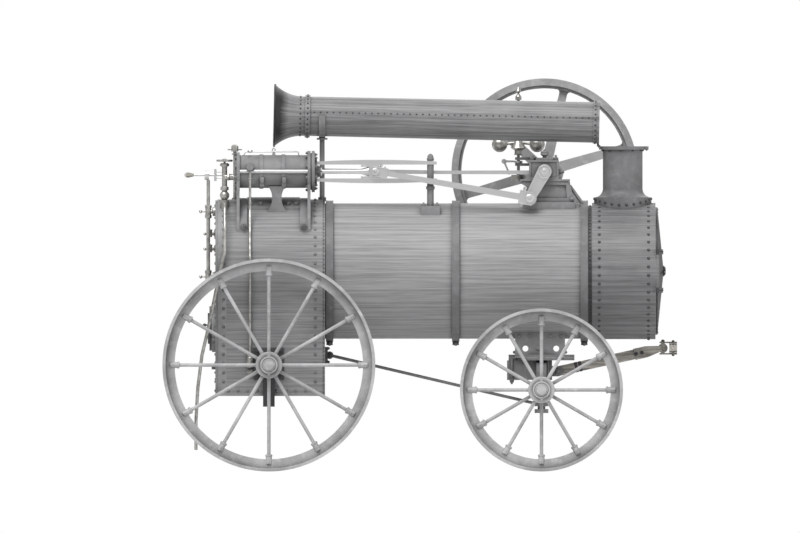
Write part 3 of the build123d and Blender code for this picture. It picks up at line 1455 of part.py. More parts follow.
def water_gauge():
    """Glass between two cocks on the back plate, with the pipe that rises to the regulator."""
    top_z = regulator_z - regulator_boss_radius - seat
    gauge = bar((gauge_x, engine_y, gauge_bottom_z), (gauge_x, engine_y, gauge_top_z), gauge_glass_radius)
    gauge += bar((gauge_x, engine_y, gauge_top_z), (gauge_x, engine_y, top_z), gauge_pipe_radius)
    for z in (gauge_bottom_z, gauge_top_z):
        half = gauge_cock_height / 2
        gauge += bar((gauge_x, engine_y, z - half), (gauge_x, engine_y, z + half), gauge_cock_radius)
        gauge += along_engine(gauge_x, firebox_back_x, gauge_arm_radius, z=z)
        gauge += along_engine(firebox_back_x - gauge_knob_radius, firebox_back_x,
                              gauge_cock_radius + gauge_knob_radius, z=z)
        knob_x = gauge_x - gauge_cock_radius - gauge_knob_reach
        gauge += along_engine(knob_x, gauge_x, gauge_knob_radius / 2, z=z)
        gauge += ball((knob_x, engine_y, z), gauge_knob_radius)
    return gauge


def try_cocks():
    """Two small cocks with drain spouts on the back plate."""
    cocks = []
    for z in cock_zs:
        x = firebox_back_x - cock_reach
        cock = bar((x, cock_y, z), (firebox_back_x, cock_y, z), cock_radius)
        cock += bar((x, cock_y, z - cock_plug_height / 2), (x, cock_y, z + cock_plug_height / 2),
                    cock_plug_radius)
        cock += bar((x - cock_reach, cock_y, z), (x, cock_y, z), cock_radius / 2)
        cock += ball((x - cock_reach, cock_y, z), cock_radius)
        cocks.append(cock)
    return Compound(children=cocks)


def piped(points, radius, bend_radius):
    """Round pipe through a list of points, with the same bend at each turn."""
    path = FilletPolyline(*points, radius=bend_radius)
    return sweep(Plane(origin=points[0], z_dir=path % 0) * Circle(radius), path)


def feed_pipe():
    """Thin pipe from the cylinder's near side down to a check valve on the firebox."""
    top_y = engine_y - cylinder_radius - bonnet_depth + feed_pipe_radius
    side_y = -firebox_radius - 3 * feed_pipe_radius
    check_top = feed_check_z + feed_check_height / 2
    lean, reach = radians(feed_pipe_lean), firebox_radius + 2 * feed_pipe_radius
    knee_z, elbow_z = (boiler_z + (reach + y * cos(lean)) / sin(lean) for y in (top_y, side_y))
    pipe = piped([(feed_pipe_x, top_y, bonnet_z - bonnet_radius - seat),
                  (feed_pipe_x, top_y, knee_z), (feed_pipe_x, side_y, elbow_z),
                  (feed_pipe_x, side_y, check_top)], feed_pipe_radius, feed_bend_radius)
    check = turned((feed_pipe_x, side_y, feed_check_z - feed_check_height / 2), (0, 0, 1), [
        (0, feed_pipe_radius), (feed_pipe_radius, feed_check_radius / 2),
        (feed_check_height / 4, feed_check_radius), (3 * feed_check_height / 4, feed_check_radius),
        (feed_check_height, feed_pipe_radius + side_play)])
    return pipe + check + across(feed_pipe_x, feed_check_z, side_y, -firebox_radius,
                                 feed_check_radius / 2)


def suction_pipe():
    """Bent pipe that draws water, held by one clip on the firebox side."""
    pipe = piped(suction_route, suction_radius, suction_bend_radius)
    low, high = suction_route[4], suction_route[5]
    share = (low[2] - suction_clip_z) / (low[2] - high[2])
    clip_x = low[0] + share * (high[0] - low[0])
    half = suction_clip_width / 2
    clip = block(max(clip_x - half, firebox_back_x), clip_x + half, low[1] - suction_radius - side_play,
                 -firebox_radius + flange_step, suction_clip_z - half, suction_clip_z + half)
    return pipe + (clip - wrapper(firebox_radius, firebox_back_x + flange_width, firebox_front_x)
                   - wrapper(firebox_radius - flange_step, firebox_back_x, firebox_front_x))


def hind_axle():
    """Axle that drops on each side of the firebox and passes under it."""
    half = axle_arm_width / 2
    arm_far_y = firebox_radius + axle_arm_depth
    low_z = firebox_bottom_z - axle_beam_depth
    axle = block(hind_x - half, hind_x + half, -arm_far_y, arm_far_y, low_z, firebox_bottom_z)
    for side in (-1, 1):
        ys = sorted((side * firebox_radius, side * arm_far_y))
        axle += block(hind_x - half, hind_x + half, *ys, low_z, hind_radius + axle_arm_rise)
        axle += across(hind_x, hind_radius, side * firebox_radius, side * axle_end_y, axle_radius)
    return axle


def wheel(x, radius, near_y, width, pin_radius, side):
    """Iron wheel: flat tyre, flange inside it, round spokes in sockets, turned hub."""
    origin, way = (x, 0, radius), (0, side, 0)
    middle = near_y + width / 2
    flange_radius = radius - tyre_depth - web_ring_depth
    tyre = turned(origin, way, [(near_y, radius), (near_y + width, radius)], radius - tyre_depth)
    flange = turned(origin, way, [(middle - web_ring_width / 2, radius - tyre_depth / 2),
                                  (middle + web_ring_width / 2, radius - tyre_depth / 2)], flange_radius)
    hub = turned(origin, way, [
        (hub_near_y, hub_barrel_radius), (middle - 2 * spoke_stagger, hub_barrel_radius),
        (middle - 2 * spoke_stagger, hub_radius), (middle + 2 * spoke_stagger, hub_radius),
        (middle + 2 * spoke_stagger, hub_nose_radius), (hub_end_y - hub_cap_depth, hub_nose_radius),
        (hub_end_y - hub_cap_depth, hub_cap_radius), (hub_end_y, hub_cap_radius)])
    spokes = []
    for number in range(spoke_count):
        angle = radians(spoke_angle + number * 360 / spoke_count)
        stagger = spoke_stagger if number % 2 else -spoke_stagger

        def place(reach, along):
            return (x + reach * cos(angle), side * along, radius + reach * sin(angle))

        spokes.append(bar(place(hub_barrel_radius, middle + stagger),
                          place(flange_radius + socket_radius, middle), spoke_radius))
        spokes.append(bar(place(flange_radius - socket_length / 2, middle),
                          place(flange_radius + socket_length / 2, middle), socket_radius))
    iron = tyre + [flange, hub, *spokes]
    return iron - across(x, radius, side * (hub_near_y - overrun), side * (axle_end_y + side_play),
                         pin_radius + running)


def hind_wheel(side):
    return wheel(hind_x, hind_radius, hind_near_y, hind_width, axle_radius, side)


def front_wheel(side):
    return wheel(front_x, front_radius, front_near_y, front_width, front_axle_radius, side)


def fore_bracket():
    """Casting under the boiler with the upper plate of the turntable."""
    x0, x1 = front_x - bracket_left, front_x + bracket_right
    top_z = 2 * boiler_z - shell_z(barrel_radius, bracket_half_width) + overrun
    plate_top = bracket_base_z + bracket_base_depth
    bracket = block(x0, x1, -bracket_half_width, bracket_half_width, bracket_base_z, top_z)
    inner = bracket_half_width - bracket_plate
    bracket -= block(x0 + bracket_plate, x1 - bracket_plate, -inner, inner, plate_top, top_z + overrun)
    bracket += bar((front_x, 0, bracket_base_z), (front_x, 0, plate_top), turntable_radius)
    bracket -= bar((front_x, 0, bracket_base_z - overrun), (front_x, 0, plate_top + overrun),
                   king_radius + seat)
    for hole_x in bracket_hole_xs:
        bracket -= across(front_x + hole_x, bracket_base_z + bracket_hole_rise,
                          -bracket_half_width - overrun, bracket_half_width + overrun, bracket_hole_radius)
    return bracket - drum(barrel_radius + seat, firebox_front_x, barrel_end_x)


def king_pin():
    """Pin that the fore-carriage turns on, with its head, collar and lower nut."""
    head_z = bracket_base_z + bracket_base_depth
    axle_low_z = front_radius - front_axle_width / 2
    nut_top = king_bottom_z + king_nut_height
    plate_top = king_plate_z + king_plate_height
    return turned((front_x, 0, 0), (0, 0, 1), [
        (king_bottom_z, king_nut_radius), (nut_top, king_nut_radius),
        (nut_top, king_nut_radius - socket_radius), (king_plate_z - seat, king_nut_radius - socket_radius),
        (king_plate_z - seat, king_radius), (plate_top + seat, king_radius),
        (plate_top + seat, king_nut_radius - socket_radius / 2),
        (axle_low_z - turntable_gap, king_nut_radius - socket_radius / 2),
        (axle_low_z - turntable_gap, king_radius), (head_z, king_radius),
        (head_z, king_nut_radius), (head_z + king_nut_height, king_nut_radius)])


def fore_carriage():
    """Lower turntable plate, bolster, arched axle bed and the front axle in one frame."""
    low_plate_z = turntable_z - turntable_depth
    axle_top_z = front_radius + front_axle_width / 2
    frame = bar((front_x, 0, low_plate_z), (front_x, 0, turntable_z), turntable_radius)
    frame += block(front_x - bolster_left, front_x + bolster_right, -bolster_half_width,
                   bolster_half_width, bolster_bottom_z, low_plate_z)
    bed = outline((-bed_end_y, axle_top_z - overrun), (bed_end_y, axle_top_z - overrun),
                  (bed_end_y, axle_top_z + bed_end_depth), (bed_crown_y, low_plate_z),
                  (-bed_crown_y, low_plate_z), (-bed_end_y, axle_top_z + bed_end_depth))
    frame += plate_x(bed, front_x - bed_width / 2, front_x + bed_width / 2)
    square_end = hub_near_y - overrun
    frame += block(front_x - front_axle_width / 2, front_x + front_axle_width / 2, -square_end, square_end,
                   front_radius - front_axle_width / 2, axle_top_z)
    frame += across(front_x, front_radius, -axle_end_y, axle_end_y, front_axle_radius)
    lug_y = draw_width / 2 + side_play
    for side in (-1, 1):
        ys = sorted((side * lug_y, side * (lug_y + draw_lug_width)))
        lug = Pos(draw_pin_x, draw_pin_z) * Circle(draw_lug_radius)
        lug += outline((front_x + bolster_right, draw_pin_z - draw_lug_radius),
                       (draw_pin_x, draw_pin_z - draw_lug_radius),
                       (draw_pin_x, draw_pin_z + draw_lug_radius),
                       (front_x + bolster_right, draw_pin_z + draw_lug_radius))
        frame += plate_y(lug, *ys) - block(front_x - bolster_left, front_x + bolster_right, *ys,
                                           bolster_bottom_z, low_plate_z)
    pin_end = lug_y + draw_lug_width + overrun
    frame += across(draw_pin_x, draw_pin_z, -pin_end, pin_end, draw_pin_radius)
    return frame - bar((front_x, 0, front_radius - front_axle_width), (front_x, 0, turntable_z + overrun),
                       king_radius + king_play)


def drawbar():
    """Wooden bar with an iron end; drawn level from its pin, then turned up."""
    half = draw_depth / 2
    wood_end = (draw_wood_end_x - draw_pin_x) / cos(radians(draw_angle))
    wood = Circle(half) + Pos(wood_end / 2, 0) * Rectangle(wood_end, draw_depth)
    beam = plate_y(wood, -draw_width / 2, draw_width / 2)
    grip = outline((wood_end - draw_band_length, -half - draw_band_proud),
                   (wood_end, -half - draw_band_proud), (draw_length, -draw_eye_radius / 2),
                   (draw_length, draw_eye_radius / 2), (wood_end, half + draw_band_proud),
                   (wood_end - draw_band_length, half + draw_band_proud))
    grip_half = draw_width / 2 + draw_band_proud
    beam += plate_y(grip, -grip_half, grip_half)
    beam -= bar((draw_length, 0, -draw_depth), (draw_length, 0, draw_depth),
                draw_eye_radius + draw_band_proud)
    beam += across(draw_length, 0, -draw_eye_depth, draw_eye_depth, draw_eye_radius)
    beam += block(wood_end, draw_length, -draw_eye_hole, draw_eye_hole, -draw_eye_hole, draw_eye_hole)
    beam -= across(0, 0, -draw_width, draw_width, draw_pin_radius + running)
    placed = Pos(draw_pin_x, 0, draw_pin_z) * Rot(0, -draw_angle, 0) * beam
    return placed - bar((draw_eye_x, 0, draw_eye_z - draw_depth), (draw_eye_x, 0, draw_eye_z + draw_depth),
                        draw_eye_hole + running)


def swingletree():
    """Cross bar at the drawbar's end, held by two straps and a pin through the drawbar's eye."""
    middle_z = draw_eye_z
    half = swingletree_height / 2
    slim = swingletree_end_width / 2
    length = swingletree_half_length
    bar_face = outline((-length, middle_z - slim), (0, middle_z - half), (length, middle_z - slim),
                       (length, middle_z + slim), (0, middle_z + half), (-length, middle_z + slim))
    tree = plate_x(bar_face, swingletree_near_x, swingletree_far_x)
    for side in (-1, 1):
        hole_y = side * (swingletree_half_length - trace_hole_inset)
        tree -= bar((swingletree_near_x - overrun, hole_y, middle_z),
                    (swingletree_far_x + overrun, hole_y, middle_z), trace_hole_radius)
    clip = swingletree_clip_depth
    strap_z = draw_eye_radius + side_play
    strap_half = draw_eye_hole + clip
    for side in (-1, 1):
        zs = sorted((middle_z + side * strap_z, middle_z + side * (strap_z + clip)))
        tree += block(draw_eye_x, swingletree_far_x, -strap_half, strap_half, *zs)
        tree += bar((draw_eye_x, 0, zs[0]), (draw_eye_x, 0, zs[1]), strap_half)
    return tree + bar((draw_eye_x, 0, middle_z - strap_z - clip), (draw_eye_x, 0, middle_z + strap_z + clip),
                      draw_eye_hole)


def stay_rod():
    """Long stay from the firebox front to a ring on the king pin."""
    ring_z = king_plate_z + king_plate_height / 2
    half = stay_eye_width / 2
    stay = block(firebox_front_x, firebox_front_x + stay_bracket_depth, -stay_bracket_width,
                 stay_bracket_width, stay_hole_z - stay_bracket_height / 2,
                 stay_hole_z + stay_bracket_height / 2)
    stay += block(firebox_front_x, stay_hole_x, -half, half, stay_hole_z - stay_eye_radius / 2,
                  stay_hole_z + stay_eye_radius / 2)
    stay += across(stay_hole_x, stay_hole_z, -half, half, stay_eye_radius)
    stay += bar((stay_hole_x, 0, stay_hole_z), (front_x - king_radius, 0, ring_z), stay_radius)
    stay += bar((front_x, 0, king_plate_z), (front_x, 0, king_plate_z + king_plate_height), king_nut_radius)
    return stay - bar((front_x, 0, king_plate_z - overrun), (front_x, 0, front_radius), king_radius + seat)


def pieces():
    """Every node's name with its shape."""
    plain = (firebox, back_plate, fire_hole_ring, grate, barrel, barrel_bands, tube_plate,
             smokebox, smokebox_front, smokebox_door, fire_door, fire_door_hinge, chimney_base,
             chimney_neck, chimney, chimney_crutch, cylinder, cylinder_saddle, steam_chest,
             lifting_eye, guide_bars, guide_post, crosshead, connecting_rod, crankshaft, flywheel,
             eccentric_rod, valve_rod, near_pedestal, far_pedestal, governor_bracket, governor,
             steam_valve, regulator, safety_valve, water_gauge, try_cocks, feed_pipe, suction_pipe,
             hind_axle, fore_bracket, king_pin, fore_carriage, drawbar, swingletree, stay_rod)
    for make in plain:
        yield make.__name__, make()
    for word, side in (("near", -1), ("far", 1)):
        yield f"{word}_hind_wheel", hind_wheel(side)
        yield f"{word}_front_wheel", front_wheel(side)


def main():
    os.makedirs("parts", exist_ok=True)
    for name, shape in pieces():
        export_step(shape, f"parts/{name}.step")


if __name__ == "__main__":
    main()
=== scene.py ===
import json
from math import asin, cos, hypot, pi, radians, sin, sqrt

import bmesh
import bpy
from bpy.props import FloatProperty, FloatVectorProperty, PointerProperty
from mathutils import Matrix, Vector


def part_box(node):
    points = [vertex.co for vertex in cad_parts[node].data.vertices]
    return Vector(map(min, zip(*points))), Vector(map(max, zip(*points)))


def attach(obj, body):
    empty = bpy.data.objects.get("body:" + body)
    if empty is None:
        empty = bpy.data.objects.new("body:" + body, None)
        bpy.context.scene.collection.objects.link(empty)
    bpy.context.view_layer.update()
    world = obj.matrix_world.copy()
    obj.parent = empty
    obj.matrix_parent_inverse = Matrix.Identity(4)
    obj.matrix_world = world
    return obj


bl_info = {
    "name": "Portable steam engine",
    "version": (1, 0, 0),
    "blender": (4, 5, 0),
    "location": "View3D > Sidebar > Engine",
    "description": "Finishes, rivets, bolts and small ironwork of a portable steam engine",
    "category": "Object",
}

# Tables and helpers are in millimetres; the meshes they make are in metres.
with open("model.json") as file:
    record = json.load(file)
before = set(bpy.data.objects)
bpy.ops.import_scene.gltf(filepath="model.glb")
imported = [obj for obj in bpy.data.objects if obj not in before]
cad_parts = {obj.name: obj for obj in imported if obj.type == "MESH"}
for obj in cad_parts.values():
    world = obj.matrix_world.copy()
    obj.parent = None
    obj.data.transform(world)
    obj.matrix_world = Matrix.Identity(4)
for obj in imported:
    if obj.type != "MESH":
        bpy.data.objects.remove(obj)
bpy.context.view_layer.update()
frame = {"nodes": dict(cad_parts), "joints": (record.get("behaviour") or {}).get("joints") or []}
MM = 0.001
# The tables take X from a line 687 mm ahead of the firebox's front.
FIREBOX_FRONT = -687.0
PLAN = Vector((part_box("firebox")[1].x / MM - FIREBOX_FRONT, 0, 0))


def low(node):
    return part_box(node)[0] / MM - PLAN


def high(node):
    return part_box(node)[1] / MM - PLAN


def middle(node):
    return (low(node) + high(node)) / 2


# places read from the frame
BOILER_Z = middle("barrel").z
BARREL_RADIUS = (high("barrel").z - low("barrel").z) / 2
FIREBOX_RADIUS = high("firebox").y
SMOKEBOX_RADIUS = high("smokebox").z - BOILER_Z
ENGINE_Y = middle("guide_bars").y
ENGINE_Z = middle("guide_bars").z
SHAFT_X = middle("flywheel").x
JOINTS = {joint["name"]: Vector(joint.get("pos_m", (0, 0, 0))) / MM - PLAN
          for joint in frame["joints"]}
GUDGEON = JOINTS["rod_swing"]
FIRE_DOOR_Z = JOINTS["fire_door_open"].z
FEED_X = middle("feed_pipe").x

# the connecting rod and the chimney as they lie at rest
ROD_LENGTH = 1018.0
CRANK_PIN_Z = 1775.08
ROD_DROP = asin((ENGINE_Z - CRANK_PIN_Z) / ROD_LENGTH)
CHIMNEY_TILT = radians(1.24)
CHIMNEY_FOOT = JOINTS["chimney_raise"] + 154 * Vector((sin(CHIMNEY_TILT), 0, cos(CHIMNEY_TILT)))
CHIMNEY_WAY = Vector((-cos(CHIMNEY_TILT), 0, sin(CHIMNEY_TILT)))

# a fold sharper than this shows as an edge
SHARP_ANGLE = radians(38)


class EngineColours(bpy.types.PropertyGroup):
    """Colours of the finishes."""

    barrel: FloatVectorProperty(
        name="Barrel sheet", description="Paint of the barrel's outer sheet", subtype="COLOR",
        min=0, max=1, default=(0.36, 0.36, 0.365))
    firebox: FloatVectorProperty(
        name="Firebox plate", description="Paint of the firebox", subtype="COLOR",
        min=0, max=1, default=(0.30, 0.30, 0.305))
    smokebox: FloatVectorProperty(
        name="Smokebox", description="Heat-proof paint of the smokebox and chimney base",
        subtype="COLOR", min=0, max=1, default=(0.20, 0.20, 0.205))
    chimney: FloatVectorProperty(
        name="Chimney", description="Heat-proof paint of the chimney", subtype="COLOR",
        min=0, max=1, default=(0.27, 0.27, 0.275))
    black: FloatVectorProperty(
        name="Black iron", description="Paint of the doors, bands and axles", subtype="COLOR",
        min=0, max=1, default=(0.045, 0.045, 0.048))
    casting: FloatVectorProperty(
        name="Castings", description="Paint of the cylinder, pedestals and carriage", subtype="COLOR",
        min=0, max=1, default=(0.26, 0.26, 0.265))
    steel: FloatVectorProperty(
        name="Bright steel", description="Polished rods, shaft and guides", subtype="COLOR",
        min=0, max=1, default=(0.44, 0.44, 0.45))
    wheel: FloatVectorProperty(
        name="Wheels", description="Light paint of wheels and flywheel", subtype="COLOR",
        min=0, max=1, default=(0.48, 0.48, 0.485))
    gunmetal: FloatVectorProperty(
        name="Gunmetal", description="Pale cocks, valves and pipes", subtype="COLOR",
        min=0, max=1, default=(0.62, 0.61, 0.58))
    wood: FloatVectorProperty(
        name="Wood", description="Oiled ash of the drawbar and swingletree", subtype="COLOR",
        min=0, max=1, default=(0.36, 0.34, 0.31))


class EngineFasteners(bpy.types.PropertyGroup):
    """Sizes of rivets and nuts."""

    rivet_radius: FloatProperty(
        name="Rivet radius", description="Radius of a boiler rivet's head", unit="LENGTH",
        min=0.004, max=0.02, default=0.0105)
    rivet_height: FloatProperty(
        name="Rivet height", description="Rise of a boiler rivet's head", unit="LENGTH",
        min=0.002, max=0.012, default=0.007)
    rivet_pitch: FloatProperty(
        name="Rivet pitch", description="Distance between boiler rivets", unit="LENGTH",
        min=0.03, max=0.12, default=0.059)
    nut_radius: FloatProperty(
        name="Nut radius", description="Radius over the corners of a common nut", unit="LENGTH",
        min=0.006, max=0.03, default=0.013)


class EngineStage(bpy.types.PropertyGroup):
    """Floor, light and camera."""

    floor: FloatVectorProperty(
        name="Floor", description="Colour of the floor", subtype="COLOR",
        min=0, max=1, default=(0.84, 0.84, 0.84))
    lamp_strength: FloatProperty(
        name="Lamp strength", description="Light of the key lamp, in watts on a square metre",
        min=0, default=2.5)
    sky: FloatProperty(
        name="Sky light", description="Strength of the light from all sides", min=0, default=0.24)
    view_width: FloatProperty(
        name="View width", description="Width that the camera takes in", unit="LENGTH",
        min=1, default=5.2)


class Link:
    """An output socket that takes part in sums."""

    def __init__(self, recipe, socket):
        self.recipe = recipe
        self.socket = socket

    def sum(self, operation, *values):
        return self.recipe.add("ShaderNodeMath", dict(enumerate(values)), operation=operation)

    def __add__(self, other):
        return self.sum("ADD", self, other)

    __radd__ = __add__

    def __sub__(self, other):
        return self.sum("SUBTRACT", self, other)

    def __rsub__(self, other):
        return self.sum("SUBTRACT", other, self)

    def __mul__(self, other):
        return self.sum("MULTIPLY", self, other)

    __rmul__ = __mul__

    def __truediv__(self, other):
        return self.sum("DIVIDE", self, other)

    def __abs__(self):
        return self.sum("ABSOLUTE", self)

    def __gt__(self, other):
        return self.sum("GREATER_THAN", self, other)

    def clamped(self):
        return self.sum("MAXIMUM", self.sum("MINIMUM", self, 1), 0)

    def between(self, start, end):
        """0 below start, 1 above end and a straight slope between them."""
        return ((self - start) / (end - start)).clamped()

    def arctan2(self, other):
        return self.sum("ARCTAN2", self, other)


class Recipe:
    """The node tree of a material or of the sky."""

    def __init__(self, owner):
        self.owner = owner
        owner.use_nodes = True
        self.tree = owner.node_tree
        self.tree.nodes.clear()

    def add(self, kind, sockets=None, output=0, **settings):
        """Add a node with its settings first and then its sockets; gives one of its outputs."""
        node = self.tree.nodes.new(kind)
        for key, value in settings.items():
            setattr(node, key, value)
        for key, value in (sockets or {}).items():
            if isinstance(value, Link):
                self.tree.links.new(value.socket, node.inputs[key])
            else:
                node.inputs[key].default_value = value
        return Link(self, node.outputs[output]) if node.outputs else node


class Finish(Recipe):
    """A material's node tree, with the places on the piece."""

    def __init__(self, name):
        super().__init__(bpy.data.materials.new(name))
        self.place = self.add("ShaderNodeTexCoord", output="Object")
        self.x, self.y, self.z = (
            self.add("ShaderNodeSeparateXYZ", {"Vector": self.place}, output=axis) for axis in "XYZ")

    def vector(self, x, y, z):
        return self.add("ShaderNodeCombineXYZ", {"X": x, "Y": y, "Z": z})

    def noise(self, scale, detail, place=None):
        return self.add("ShaderNodeTexNoise", {
            "Vector": place or self.place, "Scale": scale, "Detail": detail, "Roughness": 0.55})

    def blend(self, factor, first, second):
        """Colour between two others."""
        return self.add("ShaderNodeMix", {0: factor, 6: first, 7: second}, output=2,
                        data_type="RGBA")

    def bump(self, height, distance, strength):
        return self.add("ShaderNodeBump", {
            "Height": height, "Distance": distance, "Strength": strength})

    def painted_crease_shade(self, tone, depth=0.62):
        """The colour with painted shade: darker in corners and under ledges, where ambient occlusion
        finds other surfaces close by.
        """
        clear = self.add("ShaderNodeAmbientOcclusion", {"Distance": 0.045}, output="AO", samples=8)
        # darker copy of the colour, used as the painted shade
        dark = self.add("ShaderNodeVectorMath", {0: tone, "Scale": 1 - depth}, operation="SCALE")
        return self.blend(clear.between(0.25, 0.95), dark, tone)

    def surface(self, **looks):
        """Close the recipe with the shader and give the material."""
        names = {"colour": "Base Color", "roughness": "Roughness", "metallic": "Metallic",
                 "normal": "Normal"}
        shader = self.add("ShaderNodeBsdfPrincipled",
                          {names[look]: value for look, value in looks.items()})
        self.add("ShaderNodeOutputMaterial", {"Surface": shader})
        return self.owner


def colours():
    return bpy.context.scene.engine_colours


def opaque(colour, share=1.0):
    return (*(part * share for part in colour), 1.0)


def lined_paint(name, colour, around, depth=0.35, gloss=0.42, mouth_shade=None):
    """Brushed paint whose fine lines run along X; around gives the way across the lines.

    The last argument gives the places along X where black painted shade begins to show and where it
    covers all.
    """
    recipe = Finish(name)
    way = around(recipe)
    lines = 58.0
    wave = recipe.noise(1.0, 2.0, recipe.vector(recipe.x * 1.1, way * lines, 0))
    streak = recipe.noise(1.0, 3.0, recipe.vector(recipe.x * 5.0, way * (lines * 3.1), 7.0))
    patches = recipe.noise(2.3, 4.0)
    grain = recipe.noise(240.0, 2.0)
    line = wave.between(0.38, 0.62)
    mark = (streak.between(0.35, 0.65) * 0.45 + line * 0.55) * (0.7 + patches * 0.6)
    dust = patches.between(0.48, 0.8) * 0.35
    tone = recipe.blend(mark.clamped(), opaque(colour, 1 - depth), opaque(colour, 1 + depth * 0.55))
    tone = recipe.blend(dust, tone, opaque((0.4, 0.4, 0.4)))
    # black painted shade towards the chimney's flared mouth
    if mouth_shade:
        black = (recipe.x + patches * 0.08 + streak * 0.05).between(*mouth_shade)
        tone = recipe.blend(black, tone, opaque(colours().black, 0.5))
    rough = gloss + streak * 0.16 + patches * 0.1
    height = line * 0.5 + grain * 0.18
    return recipe.surface(colour=recipe.painted_crease_shade(tone), roughness=rough,
                          normal=recipe.bump(height, 0.0012, 0.5))


def arc_of(centre_z, radius, slope=0.0, straight=False):
    """Way round a lying cylinder, or down the straight sides of the firebox under it."""
    def around(recipe):
        rise = recipe.z - centre_z if not slope else recipe.z - (recipe.x * slope + centre_z)
        round_way = rise.arctan2(abs(recipe.y)) * radius
        if not straight:
            return round_way
        top = rise > 0
        return round_way * top + rise * (1 - top)
    return around


def cast_paint(name, colour, gloss=0.48):
    """Paint over a sand casting: fine grain, soft lumps, painted shade in the hollows."""
    recipe = Finish(name)
    grain = recipe.noise(150.0, 4.0)
    lumps = recipe.noise(21.0, 3.0)
    patches = recipe.noise(4.0, 4.0)
    tone = recipe.blend(patches.between(0.35, 0.7), opaque(colour, 0.74), opaque(colour, 1.2))
    tone = recipe.blend(lumps.between(0.52, 0.75) * 0.4, tone, opaque(colour, 1.65))
    height = grain * 0.35 + lumps * 0.65
    return recipe.surface(colour=recipe.painted_crease_shade(tone), roughness=gloss + grain * 0.2,
                          normal=recipe.bump(height, 0.0016, 0.6))


def bright_steel():
    """Polished steel with fine marks along the rods and an oily bloom."""
    colour = colours().steel
    recipe = Finish("bright_steel")
    marks = recipe.noise(1.0, 3.0, recipe.vector(recipe.x * 9.0, recipe.y * 420.0, recipe.z * 420.0))
    bloom = recipe.noise(7.0, 4.0)
    tone = recipe.blend(bloom.between(0.45, 0.75), opaque(colour), opaque(colour, 0.6))
    return recipe.surface(colour=recipe.painted_crease_shade(tone, depth=0.75), metallic=0.94 - bloom * 0.12,
                          roughness=0.2 + marks * 0.18 + bloom * 0.14,
                          normal=recipe.bump(marks, 0.0004, 0.4))


def gunmetal():
    """Pale gunmetal, rubbed bright with darker patches."""
    colour = colours().gunmetal
    recipe = Finish("gunmetal")
    patches = recipe.noise(26.0, 4.0)
    fine = recipe.noise(190.0, 3.0)
    tone = recipe.blend(patches.between(0.42, 0.7), opaque(colour), opaque(colour, 0.5))
    return recipe.surface(colour=recipe.painted_crease_shade(tone, depth=0.75), metallic=0.9 - patches * 0.15,
                          roughness=0.22 + patches * 0.2 + fine * 0.08,
                          normal=recipe.bump(fine, 0.0005, 0.4))


def boiler_sheet():
    return lined_paint("boiler_sheet", colours().barrel, arc_of(BOILER_Z * MM, BARREL_RADIUS * MM))


def firebox_plate():
    return lined_paint("firebox_plate", colours().firebox,
                       arc_of(BOILER_Z * MM, FIREBOX_RADIUS * MM, straight=True), gloss=0.5)


def end_plate():
    return cast_paint("end_plate", colours().firebox, 0.46)


def smokebox_iron():
    return lined_paint("smokebox_iron", colours().smokebox,
                       arc_of(BOILER_Z * MM, SMOKEBOX_RADIUS * MM), depth=0.45, gloss=0.38)


def saddle_iron():
    return cast_paint("saddle_iron", colours().smokebox, 0.4)


def chimney_iron():
    slope = CHIMNEY_WAY.z / CHIMNEY_WAY.x
    foot = CHIMNEY_FOOT + PLAN
    centre = (foot.z - slope * foot.x) * MM
    tube_radius = 0.13
    mouth = (low("chimney").x + PLAN.x) * MM
    # black painted shade over the last stretch before the bell's mouth
    return lined_paint("chimney_iron", colours().chimney, arc_of(centre, tube_radius, slope=slope),
                       depth=0.5, gloss=0.3, mouth_shade=(mouth + 0.17, mouth + 0.12))


def black_iron():
    return cast_paint("black_iron", colours().black, 0.36)


def grey_casting():
    return cast_paint("grey_casting", colours().casting)


def light_iron():
    return cast_paint("light_iron", colours().wheel, 0.4)


def ash(name, fibres):
    """Ash with long dark grain; fibres gives how close the grain lies along X, Y and Z."""
    colour = colours().wood
    recipe = Finish(name)
    places = (recipe.x, recipe.y, recipe.z)
    way = recipe.vector(*(place * close for place, close in zip(places, fibres)))
    grain = recipe.noise(1.0, 5.0, way)
    pores = recipe.noise(5.0, 2.0, way)
    tone = recipe.blend(grain.between(0.35, 0.65), opaque(colour, 0.5), opaque(colour, 1.7))
    return recipe.surface(colour=recipe.painted_crease_shade(tone), roughness=0.5 + grain * 0.2,
                          normal=recipe.bump(grain * 0.6 + pores * 0.4, 0.0012, 0.6))


def oiled_wood():
    return ash("oiled_wood", (7.0, 110.0, 110.0))


def cross_wood():
    return ash("cross_wood", (110.0, 7.0, 110.0))


RECIPES = {recipe.__name__: recipe for recipe in (
    boiler_sheet, firebox_plate, end_plate, smokebox_iron, saddle_iron, chimney_iron, black_iron,
    grey_casting, light_iron, bright_steel, gunmetal, oiled_wood, cross_wood)}
NODE_FINISHES = {
    "boiler_sheet": ("barrel",),
    "firebox_plate": ("firebox",),
    "end_plate": ("back_plate", "fire_hole_ring"),
    "smokebox_iron": ("smokebox", "smokebox_front", "tube_plate"),
    "saddle_iron": ("chimney_base", "chimney_neck", "barrel_bands", "stay_rod"),
    "chimney_iron": ("chimney",),
    "black_iron": ("smokebox_door", "fire_door", "fire_door_hinge", "hind_axle"),
    "grey_casting": ("grate", "chimney_crutch", "cylinder", "cylinder_saddle", "steam_chest",
                     "guide_post", "near_pedestal", "far_pedestal", "governor_bracket",
                     "fore_bracket", "king_pin", "fore_carriage"),
    "light_iron": ("flywheel", "near_hind_wheel", "far_hind_wheel", "near_front_wheel",
                   "far_front_wheel"),
    "bright_steel": ("lifting_eye", "guide_bars", "crosshead", "connecting_rod", "crankshaft",
                     "eccentric_rod", "valve_rod", "regulator"),
    "gunmetal": ("governor", "steam_valve", "safety_valve", "water_gauge", "try_cocks", "feed_pipe",
                 "suction_pipe"),
    "oiled_wood": ("drawbar",),
    "cross_wood": ("swingletree",),
}


def finish(name):
    """The material of a finish, made the first time it is asked for."""
    return bpy.data.materials.get(name) or RECIPES[name]()


